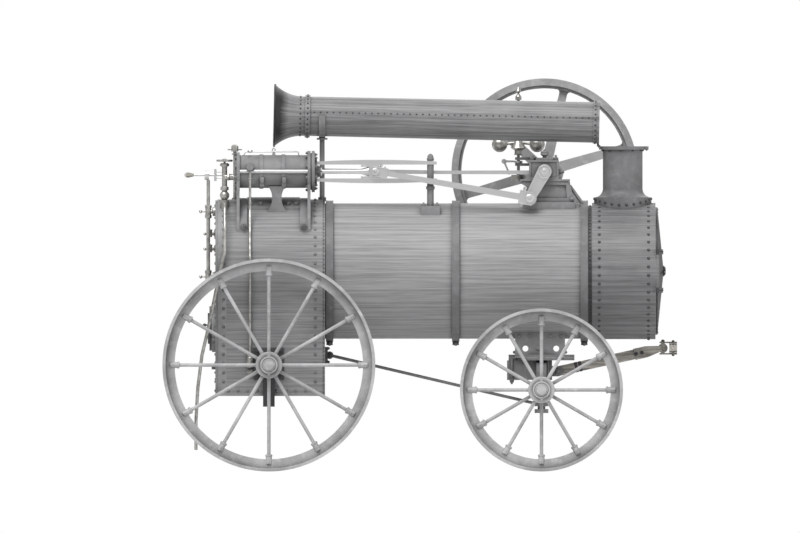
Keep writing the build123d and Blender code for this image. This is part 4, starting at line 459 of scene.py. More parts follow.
class Shape:
    """A mesh put together from turned, flat and bent parts."""

    def __init__(self):
        self.mesh = bmesh.new()

    def point(self, place):
        return self.mesh.verts.new((Vector(place) + PLAN) * MM)

    def ring(self, centre, turn, radius, steps):
        return [self.point(centre + turn @ Vector((radius * cos(angle), radius * sin(angle), 0)))
                for angle in circle(steps, 0)]

    def rings(self, origin, axis, profile, steps):
        """Rings about an axis, one for each (distance along, radius), or a point where it's 0."""
        turn = Vector(axis).to_track_quat("Z", "Y").to_matrix()
        rings = []
        for along, radius in profile:
            centre = Vector(origin) + turn @ Vector((0, 0, along))
            rings.append(self.ring(centre, turn, radius, steps) if radius else [self.point(centre)])
        return rings

    def skin(self, rings):
        """Faces between each ring and the next."""
        for first, second in zip(rings, rings[1:]):
            steps = max(len(first), len(second))
            for step in range(steps):
                after = (step + 1) % steps
                corners = [first[step % len(first)], first[after % len(first)],
                           second[after % len(second)], second[step % len(second)]]
                self.mesh.faces.new(list(dict.fromkeys(corners)))

    def solid(self, rings):
        """Skin over the rings, with flat ends."""
        self.skin(rings)
        for ring in (rings[0], rings[-1]):
            if len(ring) > 1:
                self.mesh.faces.new(ring)

    def turned(self, origin, axis, profile, steps=24):
        """Closed round part; its profile gives (distance along the axis, radius)."""
        self.solid(self.rings(origin, axis, profile, steps))

    def hollow(self, origin, axis, profile, steps=48):
        """Ring-shaped part; its profile is a closed loop of (distance along, radius)."""
        rings = self.rings(origin, axis, profile, steps)
        self.skin(rings + rings[:1])

    def rivet(self, place, normal, radius, height, steps=10):
        self.turned(place, normal, [(-1, radius), (height * 0.45, radius * 0.86),
                                    (height * 0.85, radius * 0.5), (height, 0)], steps)

    def nut(self, place, normal, radius, stud=0.6, washer=True):
        """Hexagon nut on a washer with the end of its bolt."""
        base = radius * 0.2 if washer else 0
        if washer:
            self.turned(place, normal, [(-1, radius * 1.2), (base, radius * 1.2)], 16)
        self.turned(place, normal, [(base - 1, radius), (base + radius * 0.75, radius),
                                    (base + radius * 0.9, radius * 0.84)], 6)
        if stud:
            top = base + radius * (0.9 + stud)
            self.turned(place, normal, [(0, radius * 0.5), (top - radius * 0.15, radius * 0.5),
                                        (top, radius * 0.35)], 12)

    def prism(self, points, depth, edge):
        """Flat part: corner points in space, a depth vector and broken edges."""
        lower = [self.point(place) for place in points]
        upper = [self.point(Vector(place) + Vector(depth)) for place in points]
        faces = [self.mesh.faces.new(lower), self.mesh.faces.new(upper)]
        for number in range(len(points)):
            after = (number + 1) % len(points)
            faces.append(self.mesh.faces.new((lower[number], lower[after], upper[after],
                                              upper[number])))
        edges = list(dict.fromkeys(border for face in faces for border in face.edges))
        bmesh.ops.bevel(self.mesh, geom=edges, offset=edge * MM, segments=2, profile=0.5,
                        affect="EDGES", clamp_overlap=True)

    def block(self, x0, x1, y0, y1, z0, z1, edge):
        """Upright block; the two places along Y and the two along Z stand in any order."""
        y0, y1 = sorted((y0, y1))
        z0, z1 = sorted((z0, z1))
        self.prism([(x0, y0, z0), (x1, y0, z0), (x1, y1, z0), (x0, y1, z0)], (0, 0, z1 - z0), edge)

    def pipe(self, points, radius, steps=12, end_radius=None):
        """Round bar bent through points."""
        points = [Vector(point) for point in points]
        last = len(points) - 1
        ways = [(points[min(number + 1, last)] - points[max(number - 1, 0)]).normalized()
                for number in range(last + 1)]
        turn = ways[0].to_track_quat("Z", "Y").to_matrix()
        rings = []
        for number, (point, way) in enumerate(zip(points, ways)):
            turn = (turn @ Vector((0, 0, 1))).rotation_difference(way).to_matrix() @ turn
            here = radius + ((end_radius or radius) - radius) * number / last
            rings.append(self.ring(point, turn, here, steps))
        self.solid(rings)

    def piece(self, name, body, finish_name):
        """Finished object that rides on a body."""
        bmesh.ops.recalc_face_normals(self.mesh, faces=self.mesh.faces)
        data = bpy.data.meshes.new(name)
        self.mesh.to_mesh(data)
        self.mesh.free()
        data.polygons.foreach_set("use_smooth", [True] * len(data.polygons))
        data.set_sharp_from_angle(angle=SHARP_ANGLE)
        data.materials.append(finish(finish_name))
        piece = bpy.data.objects.new(name, data)
        bpy.context.scene.collection.objects.link(piece)
        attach(piece, body)


def shell_z(radius, y):
    """Height of the boiler's round top at a distance from the middle."""
    return BOILER_Z + sqrt(radius ** 2 - y ** 2)


def on_rod(along, across, y):
    """Place on the connecting rod, from its length and depth."""
    return Vector((GUDGEON.x + along * cos(ROD_DROP) + across * sin(ROD_DROP), y,
                   GUDGEON.z - along * sin(ROD_DROP) + across * cos(ROD_DROP)))


def on_chimney(along, angle, radius):
    """Place on the lying chimney and the outward direction there."""
    up = Vector((CHIMNEY_WAY.z, 0, -CHIMNEY_WAY.x))
    normal = up * sin(angle) + Vector((0, cos(angle), 0))
    return CHIMNEY_FOOT + CHIMNEY_WAY * along + normal * radius, normal


def circle(count, start=0.5):
    """Angles evenly round a circle; start moves them by a part of their distance."""
    return [2 * pi * (number + start) / count for number in range(count)]


def radial(angle):
    """Direction square to X: 0 points to the far side and a quarter turn points up."""
    return Vector((0, cos(angle), sin(angle)))


def rivet_sizes():
    sizes = bpy.context.scene.engine_fasteners
    return sizes.rivet_radius / MM, sizes.rivet_height / MM, sizes.rivet_pitch / MM


def nut_size():
    return bpy.context.scene.engine_fasteners.nut_radius / MM


def arch(radius, bottom_z, pitch):
    """Places and normals along the firebox section, from one foot over the top to the other."""
    side = BOILER_Z - bottom_z
    total = 2 * side + pi * radius
    count = int(total // pitch)
    for number in range(count + 1):
        way = total * number / count
        if way < side:
            yield -radius, bottom_z + way, Vector((0, -1, 0))
        elif way > side + pi * radius:
            yield radius, bottom_z + total - way, Vector((0, 1, 0))
        else:
            normal = radial(pi - (way - side) / radius)
            yield radius * normal.y, BOILER_Z + radius * normal.z, normal


class ENGINE_OT_finishes(bpy.types.Operator):
    """Give every CAD node its finish"""

    bl_idname = "engine.finishes"
    bl_label = "Finish the frame's nodes"

    def execute(self, context):
        for name, nodes in NODE_FINISHES.items():
            for node in nodes:
                part = frame["nodes"][node]
                part.data.materials.clear()
                part.data.materials.append(finish(name))
        return {"FINISHED"}


class ENGINE_OT_firebox_rivets(bpy.types.Operator):
    """Rivets in rows over the firebox and round its plates"""

    bl_idname = "engine.firebox_rivets"
    bl_label = "Firebox rivets"

    def execute(self, context):
        radius, height, pitch = rivet_sizes()
        shape = Shape()
        bottom, front, back = low("firebox").z, high("firebox").x, high("fire_hole_ring").x
        foot, rear_row, front_row = bottom + 34, -1346.8, -750.8
        for x in (rear_row, front_row):
            for y, z, normal in arch(FIREBOX_RADIUS, foot, pitch):
                shape.rivet((x, y, z), normal, radius, height)
        for y, z, normal in arch(FIREBOX_RADIUS - 6, bottom + 20, pitch / 2.2):
            shape.rivet((front - 7.5, y, z), normal, radius * 0.5, height * 0.6, 8)
        for number in range(9):
            x = rear_row + (front_row - rear_row) * (number + 0.5) / 9.5
            for side in (-1, 1):
                shape.rivet((x, side * FIREBOX_RADIUS, foot), (0, side, 0), radius, height)
        for y, z, normal in arch(FIREBOX_RADIUS - 40, foot, pitch):
            shape.rivet((back, y, z), (-1, 0, 0), radius, height)
        stay_pitch = 108
        for row in range(10):
            for column in range(-3, 4):
                y, z = column * stay_pitch, bottom + 110 + row * stay_pitch
                by_door = hypot(y / 230, (z - FIRE_DOOR_Z) / 185) <= 1
                by_gauge = abs(y - ENGINE_Y) < 45 and z > 1200
                by_edge = hypot(y, max(z - BOILER_Z, 0)) >= 390
                if not (by_door or by_gauge or by_edge):
                    shape.rivet((back, y, z), (-1, 0, 0), radius * 0.8, height * 0.7)
        # rivet heads take the darker smokebox paint: painted shade standing for the shading round each
        # head
        shape.piece("firebox_rivets", "engine", "smokebox_iron")
        return {"FINISHED"}


class ENGINE_OT_smokebox_rivets(bpy.types.Operator):
    """Rows of rivets round the smokebox and its neck"""

    bl_idname = "engine.smokebox_rivets"
    bl_label = "Smokebox rivets"

    def execute(self, context):
        radius, height, pitch = rivet_sizes()
        shape = Shape()
        count = int(2 * pi * SMOKEBOX_RADIUS / (pitch * 0.93))
        neck_count, neck_radius = 96, 425.0
        for x, angles, reach, size, rise, steps in (
                (1095.9, circle(count), SMOKEBOX_RADIUS, radius * 0.95, height, 10),
                (1415.7, circle(count), SMOKEBOX_RADIUS, radius * 0.95, height, 10),
                (1036.0, circle(neck_count), neck_radius, radius * 0.5, height * 0.6, 8)):
            for normal in map(radial, angles):
                place = Vector((x, 0, BOILER_Z)) + normal * reach
                shape.rivet(place, normal, size, rise, steps)
        # rivet heads take black iron, darker than the smokebox: painted shade round each head
        shape.piece("smokebox_rivets", "engine", "black_iron")
        return {"FINISHED"}


class ENGINE_OT_chimney_base(bpy.types.Operator):
    """Saddle rivets, flange bolts and the swing bolt of the chimney base"""

    bl_idname = "engine.chimney_base"
    bl_label = "Chimney base ironwork"

    def execute(self, context):
        radius, height, _ = rivet_sizes()
        shape = Shape()
        x, brim, brim_rise, brim_top, neck_flange = 1248.0, 187.0, 28.0, 1772, 134
        for angle in circle(24):
            normal = Vector((cos(angle), sin(angle), 0))
            z = min(shell_z(SMOKEBOX_RADIUS, brim * sin(angle)) + brim_rise, brim_top)
            shape.rivet(Vector((x, 0, z)) + normal * brim, normal, radius * 0.9, height)
        neck_top = high("chimney_neck").z - 10
        for angle in circle(10, 0.35):
            normal = Vector((cos(angle), sin(angle), 0))
            place = Vector((x, 0, neck_top - 22)) + normal * neck_flange
            shape.nut(place, (0, 0, -1), 8, 0.5, False)
        lug_x = high("chimney_neck").x - 13
        shape.nut((lug_x, 0, neck_top - 12), (0, 0, -1), 11, 0.4)
        shape.piece("chimney_base_irons", "engine", "black_iron")
        return {"FINISHED"}


class ENGINE_OT_chimney(bpy.types.Operator):
    """Rivets and seams of the folding chimney"""

    bl_idname = "engine.chimney"
    bl_label = "Chimney rivets"

    def execute(self, context):
        radius, height, _ = rivet_sizes()
        shape = Shape()
        for along, out in ((27.5, 137), (1898, 139), (1945, 128)):
            for angle in circle(24):
                place, normal = on_chimney(along, angle, out)
                shape.rivet(place, normal, radius * 0.62, height * 0.8, 8)
        tube, foot_radius, taper, seam_angle = 1882, 132, 4, pi * 0.93
        for number in range(44):
            along = 70 + number * 41.5
            place, normal = on_chimney(along, seam_angle, foot_radius - along * taper / tube)
            shape.rivet(place, normal, radius * 0.5, height * 0.6, 8)
        shape.piece("chimney_rivets", "chimney", "black_iron")
        return {"FINISHED"}


class ENGINE_OT_bands(bpy.types.Operator):
    """Bolts that draw the barrel bands together, and the beads along their edges"""

    bl_idname = "engine.bands"
    bl_label = "Band bolts"

    def execute(self, context):
        shape = Shape()
        lug_y, lug_z, half_width = 23.0, low("barrel_bands").z + 12, 21
        for x in (-657.5, 162.5, 998.0):
            for side in (-1, 1):
                shape.nut((x, side * lug_y, lug_z), (0, side, 0), nut_size() * 1.05, 0.7)
                shape.hollow((x + side * half_width, 0, BOILER_Z), (1, 0, 0), [
                    (-1.5, 452), (-3.5, 458.4), (0, 459.6), (3.5, 458.4), (1.5, 452)], 96)
        shape.piece("band_bolts", "engine", "saddle_iron")
        return {"FINISHED"}


class ENGINE_OT_cylinder(bpy.types.Operator):
    """Nuts, cover, brackets and small rods of the cylinder"""

    bl_idname = "engine.cylinder"
    bl_label = "Cylinder ironwork"

    def execute(self, context):
        nut = nut_size()
        rear, flange = low("cylinder").x, -754.0
        shape = Shape()
        shape.turned((rear, ENGINE_Y, ENGINE_Z), (-1, 0, 0), [
            (-1, 100), (9, 100), (12, 96), (12, 62), (18, 56), (20, 20), (22, 0)], 48)
        all_round = circle(10)
        flange_sides = [radians(turn) for turn in (0, 30, -30, 150, 180, 210)]
        for x, way, reach, angles, share, stud in (
                (rear, -1, 112, all_round, 0.72, 0.6), (flange, 1, 110, all_round, 0.85, 0.6),
                (flange - 47, -1, 120, all_round, 0.75, 0.2),
                (flange + 15, 1, 68, flange_sides, 0.65, 0.6),
                (flange + 39, 1, 25, (0, pi), 0.5, 0.6)):
            for angle in angles:
                place = Vector((x, ENGINE_Y, ENGINE_Z)) + radial(angle) * reach
                shape.nut(place, (way, 0, 0), nut * share, stud)
        leg_z, leg_reach = 278.1, 466.3
        leg_lean = asin(leg_z / leg_reach)
        outward = Vector((0, -cos(leg_lean), sin(leg_lean)))
        for x in (-1218.0, -825.0):
            shape.nut(Vector((x, 0, BOILER_Z)) + outward * 497, outward, nut * 1.25)
        bed_y, bed_reach = 208.9, 480.3
        bed_lean = asin(bed_y / bed_reach)
        outward = Vector((0, -sin(bed_lean), cos(bed_lean)))
        for x in (-1168.0, -1106.0, -925.6, -873.0):
            shape.nut(Vector((x, 0, BOILER_Z)) + outward * bed_reach, outward, nut * 1.1, 0.3)
        bracket_y = -318
        for x in (-1096.5, -952.5):
            shape.block(x - 13, x + 13, bracket_y, bracket_y + 30, 1852, 1914, 3)
            shape.nut((x, bracket_y, 1882), (0, -1, 0), nut * 0.8, 0.4)
        for x in (-1181.0, -858.0):
            shape.rivet((x, ENGINE_Y - 40, ENGINE_Z + 100), (0, -0.37, 0.93), 9, 6)
        shape.nut((FEED_X, -352, 1978), (0, -1, 0), 27, 0, False)
        shape.piece("cylinder_nuts", "engine", "grey_casting")

        bright = Shape()
        bright.pipe([(x, -312, ENGINE_Z) for x in (-1241, -1030, -801)], 13.5, 20)
        bright.pipe([(x, ENGINE_Y, z) for x, z in (
            (-1241, 2052), (-1214, 2060), (-1206, 2076), (-1196, 2079), (-1040, 2079), (-868, 2079),
            (-860, 2076), (-858, 2054))], 4.5, 10)
        bright.turned((-1174, ENGINE_Y, 2072), (0, 0, 1), [
            (0, 6), (3, 16), (11, 18), (17, 14), (19, 0)], 20)
        bright.turned((-739, ENGINE_Y, ENGINE_Z), (1, 0, 0), [
            (-1, 30), (20, 30), (24, 27), (30, 27), (33, 22)], 28)
        bright.piece("cylinder_rods", "engine", "bright_steel")
        return {"FINISHED"}


class ENGINE_OT_motion(bpy.types.Operator):
    """Nuts, caps and straps of the guides, the crosshead and the connecting rod"""

    bl_idname = "engine.motion"
    bl_label = "Guides, crosshead and rod"

    def execute(self, context):
        nut = nut_size()
        post_x, foot_z = -2.0, shell_z(BARREL_RADIUS, ENGINE_Y) + 34
        shape = Shape()
        for side_x in (-44, 44):
            for side_y in (-28, 28):
                shape.nut((post_x + side_x, ENGINE_Y + side_y, foot_z), (0, 0, 1), nut * 0.9, 0.9)
        top = high("guide_bars").z + 2
        shape.turned((post_x, ENGINE_Y, top), (0, 0, 1), [
            (0, 24), (6, 24), (9, 20), (20, 20), (28, 16), (36, 8), (38, 0)], 24)
        shape.piece("guide_nuts", "engine", "grey_casting")

        head = Shape()
        face = low("crosshead").y
        centre = (GUDGEON.x, face, GUDGEON.z)
        head.turned(centre, (0, -1, 0), [(-1, 22), (3, 22), (5, 19)], 28)
        head.nut((GUDGEON.x, face - 4, GUDGEON.z), (0, -1, 0), 14, 0.5, False)
        for x in (-78, 28):
            for side in (-1, 1):
                head.rivet((GUDGEON.x + x, ENGINE_Y - 25, GUDGEON.z + side * 37), (0, -1, 0), 6, 4)
        head.piece("crosshead_nut", "crosshead", "bright_steel")

        rod = Shape()
        near = low("connecting_rod").y
        strap_y, strap, depth = near + 10, 3, (0, -3.5, 0)
        for start, end, half in ((ROD_LENGTH - 66, ROD_LENGTH + 20, 42), (-12, 78, 30)):
            plates = [(start, end, side * half - strap, side * half + strap) for side in (-1, 1)]
            plates.append((start - strap, start + strap, -half - strap, half + strap))
            for first, last, lower, upper in plates:
                rod.prism([on_rod(first, lower, strap_y), on_rod(last, lower, strap_y),
                           on_rod(last, upper, strap_y), on_rod(first, upper, strap_y)], depth, 1)
        pin = on_rod(ROD_LENGTH, 0, near)
        rod.turned(pin, (0, -1, 0), [(-1, 27), (4, 27), (7, 23), (7, 12), (9, 10), (10, 0)], 28)
        up = on_rod(0, 1, 0) - on_rod(0, 0, 0)
        rod.turned(on_rod(ROD_LENGTH - 40, 34, near + 4), up, [
            (0, 7), (18, 7), (20, 11), (34, 11), (37, 6)], 16)
        rod.turned(on_rod(32, 28, near + 24), up, [
            (0, 6), (12, 6), (14, 9), (23, 9), (25, 5)], 16)
        rod.piece("rod_straps", "connecting_rod", "bright_steel")
        return {"FINISHED"}


class ENGINE_OT_crank(bpy.types.Operator):
    """Frames and bolts of the pedestals, and the crank's small work"""

    bl_idname = "engine.crank"
    bl_label = "Pedestals and crank"

    def execute(self, context):
        nut = nut_size()
        shape = Shape()
        for face, outward, centre_y in ((-160.0, -1, -122.5), (285.0, 1, 245.0)):
            inner, outer = face - outward, face + outward * 7
            for x0, x1, z0, z1 in ((639, 653, 1912, 2010), (818, 832, 1912, 2010),
                                   (639, 832, 2010, 2024), (578, 905, 1886, 1900),
                                   (578, 592, 1876, 1886), (891, 905, 1876, 1886),
                                   (639, 832, 1900, 1912)):
                shape.block(x0, x1, inner, outer, z0, z1, 2.5)
            for x in (661.0, 813.0):
                shape.nut((x, centre_y, 2024), (0, 0, 1), nut * 1.25, 1.0)
            for x in (604.0, 920.0):
                y = face + outward * 9
                shape.nut((x, y, shell_z(BARREL_RADIUS, abs(y)) + 62), (0, outward, 0.25), nut, 0.4)
            shape.nut((832, centre_y, 1947), (1, 0, 0), nut * 1.4, 0.9)
            shape.turned((SHAFT_X, centre_y, 2074), (0, 0, 1), [
                (0, 24), (3, 26), (6, 24), (12, 9), (16, 9), (20, 5), (21, 0)], 24)
        end = Vector((990, -122, 1738))
        shape.pipe([(903, -122, 1858), end], 11, 12)
        shape.turned(end - Vector((0, 0, 14)), (0, -0.28, 0.96), [(0, 24), (10, 24), (13, 21)], 20)
        shape.piece("pedestal_bolts", "engine", "grey_casting")

        crank = Shape()
        boss = (SHAFT_X, low("crankshaft").y, ENGINE_Z)
        crank.hollow(boss, (0, -1, 0), [(-4, 46), (0, 45), (1, 42), (1, 35), (-4, 34)], 40)
        crank.turned(boss, (0, -1, 0), [(-2, 18), (2, 18), (3, 16), (3, 7), (1, 0)], 28)
        crank.piece("crank_boss_ring", "crankshaft", "bright_steel")

        sheave = JOINTS["eccentric_turn"]
        strap = Shape()
        for side in (-1, 1):
            for x in (-17.6, 17.6):
                strap.nut((sheave.x + x, sheave.y, sheave.z + side * 95), (0, 0, side), 7, 0.5, False)
        strap.piece("strap_nuts", "eccentric_rod", "bright_steel")

        wheel = Shape()
        near_face, far_face, key_z = 540, 690, ENGINE_Z + 28
        for y, way in ((near_face, -1), (far_face, 1)):
            wheel.hollow((SHAFT_X, y, ENGINE_Z), (0, way, 0), [
                (-6, 84), (-6, 88), (-1, 88), (0, 85), (0, 46), (-3, 44)], 48)
            wheel.block(SHAFT_X - 9, SHAFT_X + 9, y - way * 4, y + way * 5, key_z, key_z + 18, 1.5)
        wheel.piece("flywheel_hub_rings", "crankshaft", "light_iron")
        return {"FINISHED"}


class ENGINE_OT_governor(bpy.types.Operator):
    """Throttle lever and rod, sleeve and rings of the governor"""

    bl_idname = "engine.governor"
    bl_label = "Governor gear"

    def execute(self, context):
        x, y, _ = JOINTS["governor_spin"]
        pivot, foot, gland = Vector((476, y, 2016)), Vector((508, y, 1942)), Vector((-840, 6, 1968))
        gear = Shape()
        gear.prism([(pivot.x, y - 6, 2008), (x - 24, y - 6, 2010), (x - 24, y - 6, 2022),
                    (pivot.x, y - 6, 2024)], (0, 12, 0), 2)
        gear.turned(pivot - Vector((0, 13, 0)), (0, 1, 0), [(0, 12), (2, 16), (24, 16), (26, 12)], 24)
        gear.hollow((x, y, 2012), (0, 0, 1), [
            (-8, 14), (-8, 24), (-6, 27), (6, 27), (8, 24), (8, 14)], 32)
        gear.pipe([pivot, pivot.lerp(foot, 0.5), foot], 6, 12)
        gear.turned(foot - Vector((0, 10, 0)), (0, 1, 0), [(0, 9), (2, 12), (18, 12), (20, 9)], 20)
        gear.pipe([foot, foot.lerp(gland, 0.5), gland], 6, 12)
        gear.turned(gland, (-1, 0, 0), [(-18, 8), (-14, 12), (0, 12), (10, 12)], 20)
        gear.piece("throttle_gear", "engine", "bright_steel")

        spinner = Shape()
        ball_z = 2125
        for side in (-1, 1):
            ball_x = x + side * 122
            spinner.hollow((ball_x, y, ball_z), (0, 0, 1), [
                (-3, 46), (-3, 49.5), (-1.5, 51), (1.5, 51), (3, 49.5), (3, 46)], 40)
            spinner.turned((ball_x, y, ball_z + 45), (0, 0, 1), [
                (0, 16), (6, 13), (10, 8), (12, 0)], 20)
        for z, radius in ((2160, 16), (2200, 13), (2400, 15)):
            spinner.hollow((x, y, z), (0, 0, 1), [(-5, 9), (-5, radius - 2), (-3, radius), (3, radius),
                                                  (5, radius - 2), (5, 9)], 28)
        spinner.hollow((x, y, 2062), (0, 0, 1), [(-4, 20), (-4, 27), (-1, 30), (2, 27), (2, 20)], 32)
        spinner.piece("governor_rings", "governor", "gunmetal")
        return {"FINISHED"}


class ENGINE_OT_fittings(bpy.types.Operator):
    """Nuts, levers and rings of the valves, gauge and pipes"""

    bl_idname = "engine.fittings"
    bl_label = "Boiler fittings"

    def execute(self, context):
        nut = nut_size()
        shape = Shape()
        up, back = (0, 0, 1), (-1, 0, 0)
        valve_x = -1340.0
        for z in (1839.5, 1993.0):
            shape.turned((valve_x, ENGINE_Y, z - 12), up, [(0, 22), (3, 24), (21, 24), (24, 22)], 6)
        shape.turned((valve_x, ENGINE_Y, 2024), up, [(0, 14), (4, 16), (8, 12), (12, 0)], 20)
        shape.hollow((valve_x, ENGINE_Y, 2020.5), up, [
            (-7, 47), (-7, 50), (-4, 53), (4, 53), (7, 50), (7, 47), (4, 40), (-4, 40)], 40)
        for x in (-1322.0, -1284.0):
            shape.turned((x, ENGINE_Y, 1914), (1, 0, 0), [(0, 24), (3, 26), (11, 26), (14, 24)], 6)
        gauge_x, drain_x = -1446.0, -1496.0
        for z in (1266.0, 1690.0):
            for start, foot, top in ((z - 44, 16, 17), (z + 20, 17, 16)):
                shape.turned((gauge_x, ENGINE_Y, start), up, [
                    (0, foot), (4, 22), (20, 22), (24, top)], 6)
            shape.turned((-1411, ENGINE_Y, z), back, [(-2, 30), (4, 30), (7, 26)], 28)
            shape.pipe([(drain_x, ENGINE_Y, z), (drain_x, ENGINE_Y - 26, z),
                        (drain_x, ENGINE_Y - 44, z - 8)], 5, 10)
        cock_x, cock_y = -1434, -70
        for z in (1544.0, 1446.0):
            shape.turned((cock_x, cock_y, z + 18), up, [(0, 12), (3, 15), (9, 15), (12, 8)], 20)
            shape.pipe([(cock_x, cock_y, z + 28), (cock_x, cock_y - 22, z + 30),
                        (cock_x, cock_y - 48, z + 22)], 4.5, 10)
            shape.turned((-1402, cock_y, z), back, [(-2, 22), (4, 22), (6, 18)], 24)
        side_y = low("feed_pipe").y + 22
        shape.turned((FEED_X, side_y, 744), up, [(0, 19), (4, 22), (18, 22), (22, 15)], 6)
        shape.turned((FEED_X, side_y, 690), (0, 0, -1), [(0, 19), (4, 21), (14, 19)], 6)
        shape.nut((FEED_X, -FIREBOX_RADIUS, 645), (0, -1, 0), nut * 1.5, 0.4)
        for z in (1742.0, 1904.0):
            shape.hollow((FEED_X, -348, z), up, [(-4, 7), (-4, 12), (4, 12), (4, 7)], 20)
        shape.piece("fitting_nuts", "engine", "gunmetal")

        dark = Shape()
        for z in (1238.0, 1262.0):
            dark.nut((-1387, -FIREBOX_RADIUS + 4, z), (0, -1, 0), nut * 0.6, 0.3)
        dark.turned((low("regulator").x + 8, ENGINE_Y, 1927), (1, 0, 0), [
            (0, 12), (6, 16.5), (22, 17), (44, 11), (54, 9)], 24)
        dark.piece("fitting_handles", "engine", "oiled_wood")
        return {"FINISHED"}


class ENGINE_OT_wheels(bpy.types.Operator):
    """Hub rings, linchpins and socket rivets of the four wheels"""

    bl_idname = "engine.wheels"
    bl_label = "Wheel ironwork"

    def execute(self, context):
        hub_end, cap_end, linchpin_y = 733, 743, 722
        for end, rim_y in (("hind", 620.0), ("front", 615.0)):
            for word, side in (("near", -1), ("far", 1)):
                body = f"{word}_{end}_wheel"
                hub = middle(body) * Vector((1, 0, 1))
                out = Vector((0, side, 0))
                shape = Shape()
                shape.hollow(hub + out * hub_end, out, [
                    (-6, 46), (-6, 55), (-2, 57), (1, 54), (1, 46)], 48)
                shape.hollow(hub + out * cap_end, out, [
                    (-14, 20), (-14, 42), (-9, 42), (-7, 38), (-7, 33), (1.6, 32.5), (1.6, 22),
                    (-1, 20)], 40)
                shape.hollow(hub + out * (rim_y + 52), out, [
                    (-5, 78), (-6, 86), (-2, 87), (2, 84), (3, 80), (3, 62), (0, 58)], 56)
                for z in (-1, 1):
                    shape.turned(hub + out * linchpin_y + Vector((0, 0, z * 36)), (0, 0, z), [
                        (0, 6), (20, 6), (22, 9), (30, 9), (33, 5)], 14)
                spoke_ring = hub.z - 80
                for number in range(12):
                    angle = radians(90 + number * 30)
                    ray = Vector((cos(angle), 0, sin(angle)))
                    root = hub + ray * (spoke_ring - 32) + out * rim_y
                    shape.turned(root, ray, [(0, 16), (4, 23), (12, 23), (16, 20)], 20)
                    for reach in (8, 22):
                        place = hub + ray * (spoke_ring + reach) + out * (rim_y + 19)
                        shape.rivet(place, out, 5, 4, 8)
                shape.piece(f"{body}_irons", body, "light_iron")
        return {"FINISHED"}


class ENGINE_OT_carriage(bpy.types.Operator):
    """Bolts and plates of the axles, the bracket, the drawbar and the stay"""

    bl_idname = "engine.carriage"
    bl_label = "Carriage ironwork"

    def execute(self, context):
        nut = nut_size()
        shape = Shape()
        hind = middle("near_hind_wheel")
        plate = FIREBOX_RADIUS + 8
        for side in (-1, 1):
            shape.block(hind.x - 98, hind.x + 98, side * FIREBOX_RADIUS, side * plate, hind.z - 96,
                        hind.z + 112, 2)
            for x in (-78, 78):
                for z in (-74, 8, 90):
                    shape.nut((hind.x + x, side * plate, hind.z + z), (0, side, 0), nut * 0.85, 0.3,
                              False)
            for z in (452, 470):
                shape.rivet((hind.x, side * 502, z), (0, side, 0), 9, 6)
        shape.piece("axle_plates", "engine", "black_iron")

        front = Shape()
        x0, x1, half = 548.0, 873.0, 190.0
        for side in (-1, 1):
            front.rivet((698.8, side * half, 802), (0, side, 0), 17, 9, 16)
            for x in (x0 + 26, x0 + 96, x1 - 96, x1 - 26):
                front.nut((x, side * half, 880), (0, side, 0), nut * 0.8, 0.3)
            front.block(x0, x1, side * half, side * (half + 5), 740, 752, 2)
        for x, way in ((x0, -1), (x1, 1)):
            for y in (-150, -50, 50, 150):
                front.nut((x, y, 775), (way, 0, 0), nut * 0.8, 0.3)
        front.piece("bracket_bolts", "engine", "grey_casting")

        fore = Shape()
        for y in (-158, 158):
            for x in (527.0, 760.0):
                fore.turned((x, y, 572), (0, 0, 1), [(0, 5), (4, 8), (152, 8)], 14)
                fore.nut((x, y, 722), (0, 0, 1), nut, 0.1, False)
                fore.nut((x, y, 592), (0, 0, -1), nut, 0.8)
                fore.block(x - 16, x + 16, y - 12, y + 12, 592, 602, 2)
        pin = JOINTS["drawbar_drop"]
        for side in (-1, 1):
            for y in (300, 470):
                fore.hollow((720, side * y, 562), (0, 1, 0), [
                    (-14, 47), (-14, 51), (14, 51), (14, 47)], 4)
            fore.nut((pin.x, side * 45, pin.z), (0, side, 0), nut * 1.2, 0.4)
        fore.piece("fore_carriage_bolts", "fore_carriage", "grey_casting")

        bar = Shape()
        tip = JOINTS["swingletree_swing"]
        way = (tip - pin).normalized()
        up = Vector((-way.z, 0, way.x))
        for reach in (-140, -178):
            for side in (-1, 1):
                place = tip + way * reach + Vector((0, side * 35, 0))
                bar.nut(place, (0, side, 0), nut * 0.75, 0.3)
        half_depth, half_width = 33.6, 31.6
        for reach in (-190.5, -560, -586):
            bar.prism([tip + way * reach + up * (z * half_depth) + Vector((0, y * half_width, 0))
                       for y, z in ((-1, -1), (1, -1), (1, 1), (-1, 1))], way * 20, 1.5)
        bar.piece("drawbar_irons", "drawbar", "black_iron")

        tree = Shape()
        near_x, far_x = 1550.0, high("swingletree").x
        middle_x = (near_x + far_x) / 2
        for face in (-1, 1):
            for side in (-1, 1):
                tree.block(near_x + 1, far_x - 1, side * 333, side * 357, tip.z + face * 19,
                           tip.z + face * 25, 1.2)
                tree.rivet((middle_x, side * 345, tip.z + face * 25), (0, 0, face), 7, 4)
            tree.nut((middle_x, 0, tip.z + face * 42), (0, 0, face), nut * 0.7, 0.2, False)
        tree.nut((tip.x, 0, tip.z + 42), (0, 0, 1), nut * 0.9, 0.3, False)
        tree.piece("swingletree_irons", "swingletree", "black_iron")

        stay = Shape()
        for side in (-1, 1):
            stay.nut((-657, side * 12, 756), (0, side, 0), nut, 0.4)
            for z in (712, 800):
                stay.nut((-669, side * 13, z), (1, 0, 0), nut * 0.75, 0.3)
        stay.piece("stay_bolts", "engine", "black_iron")
        return {"FINISHED"}


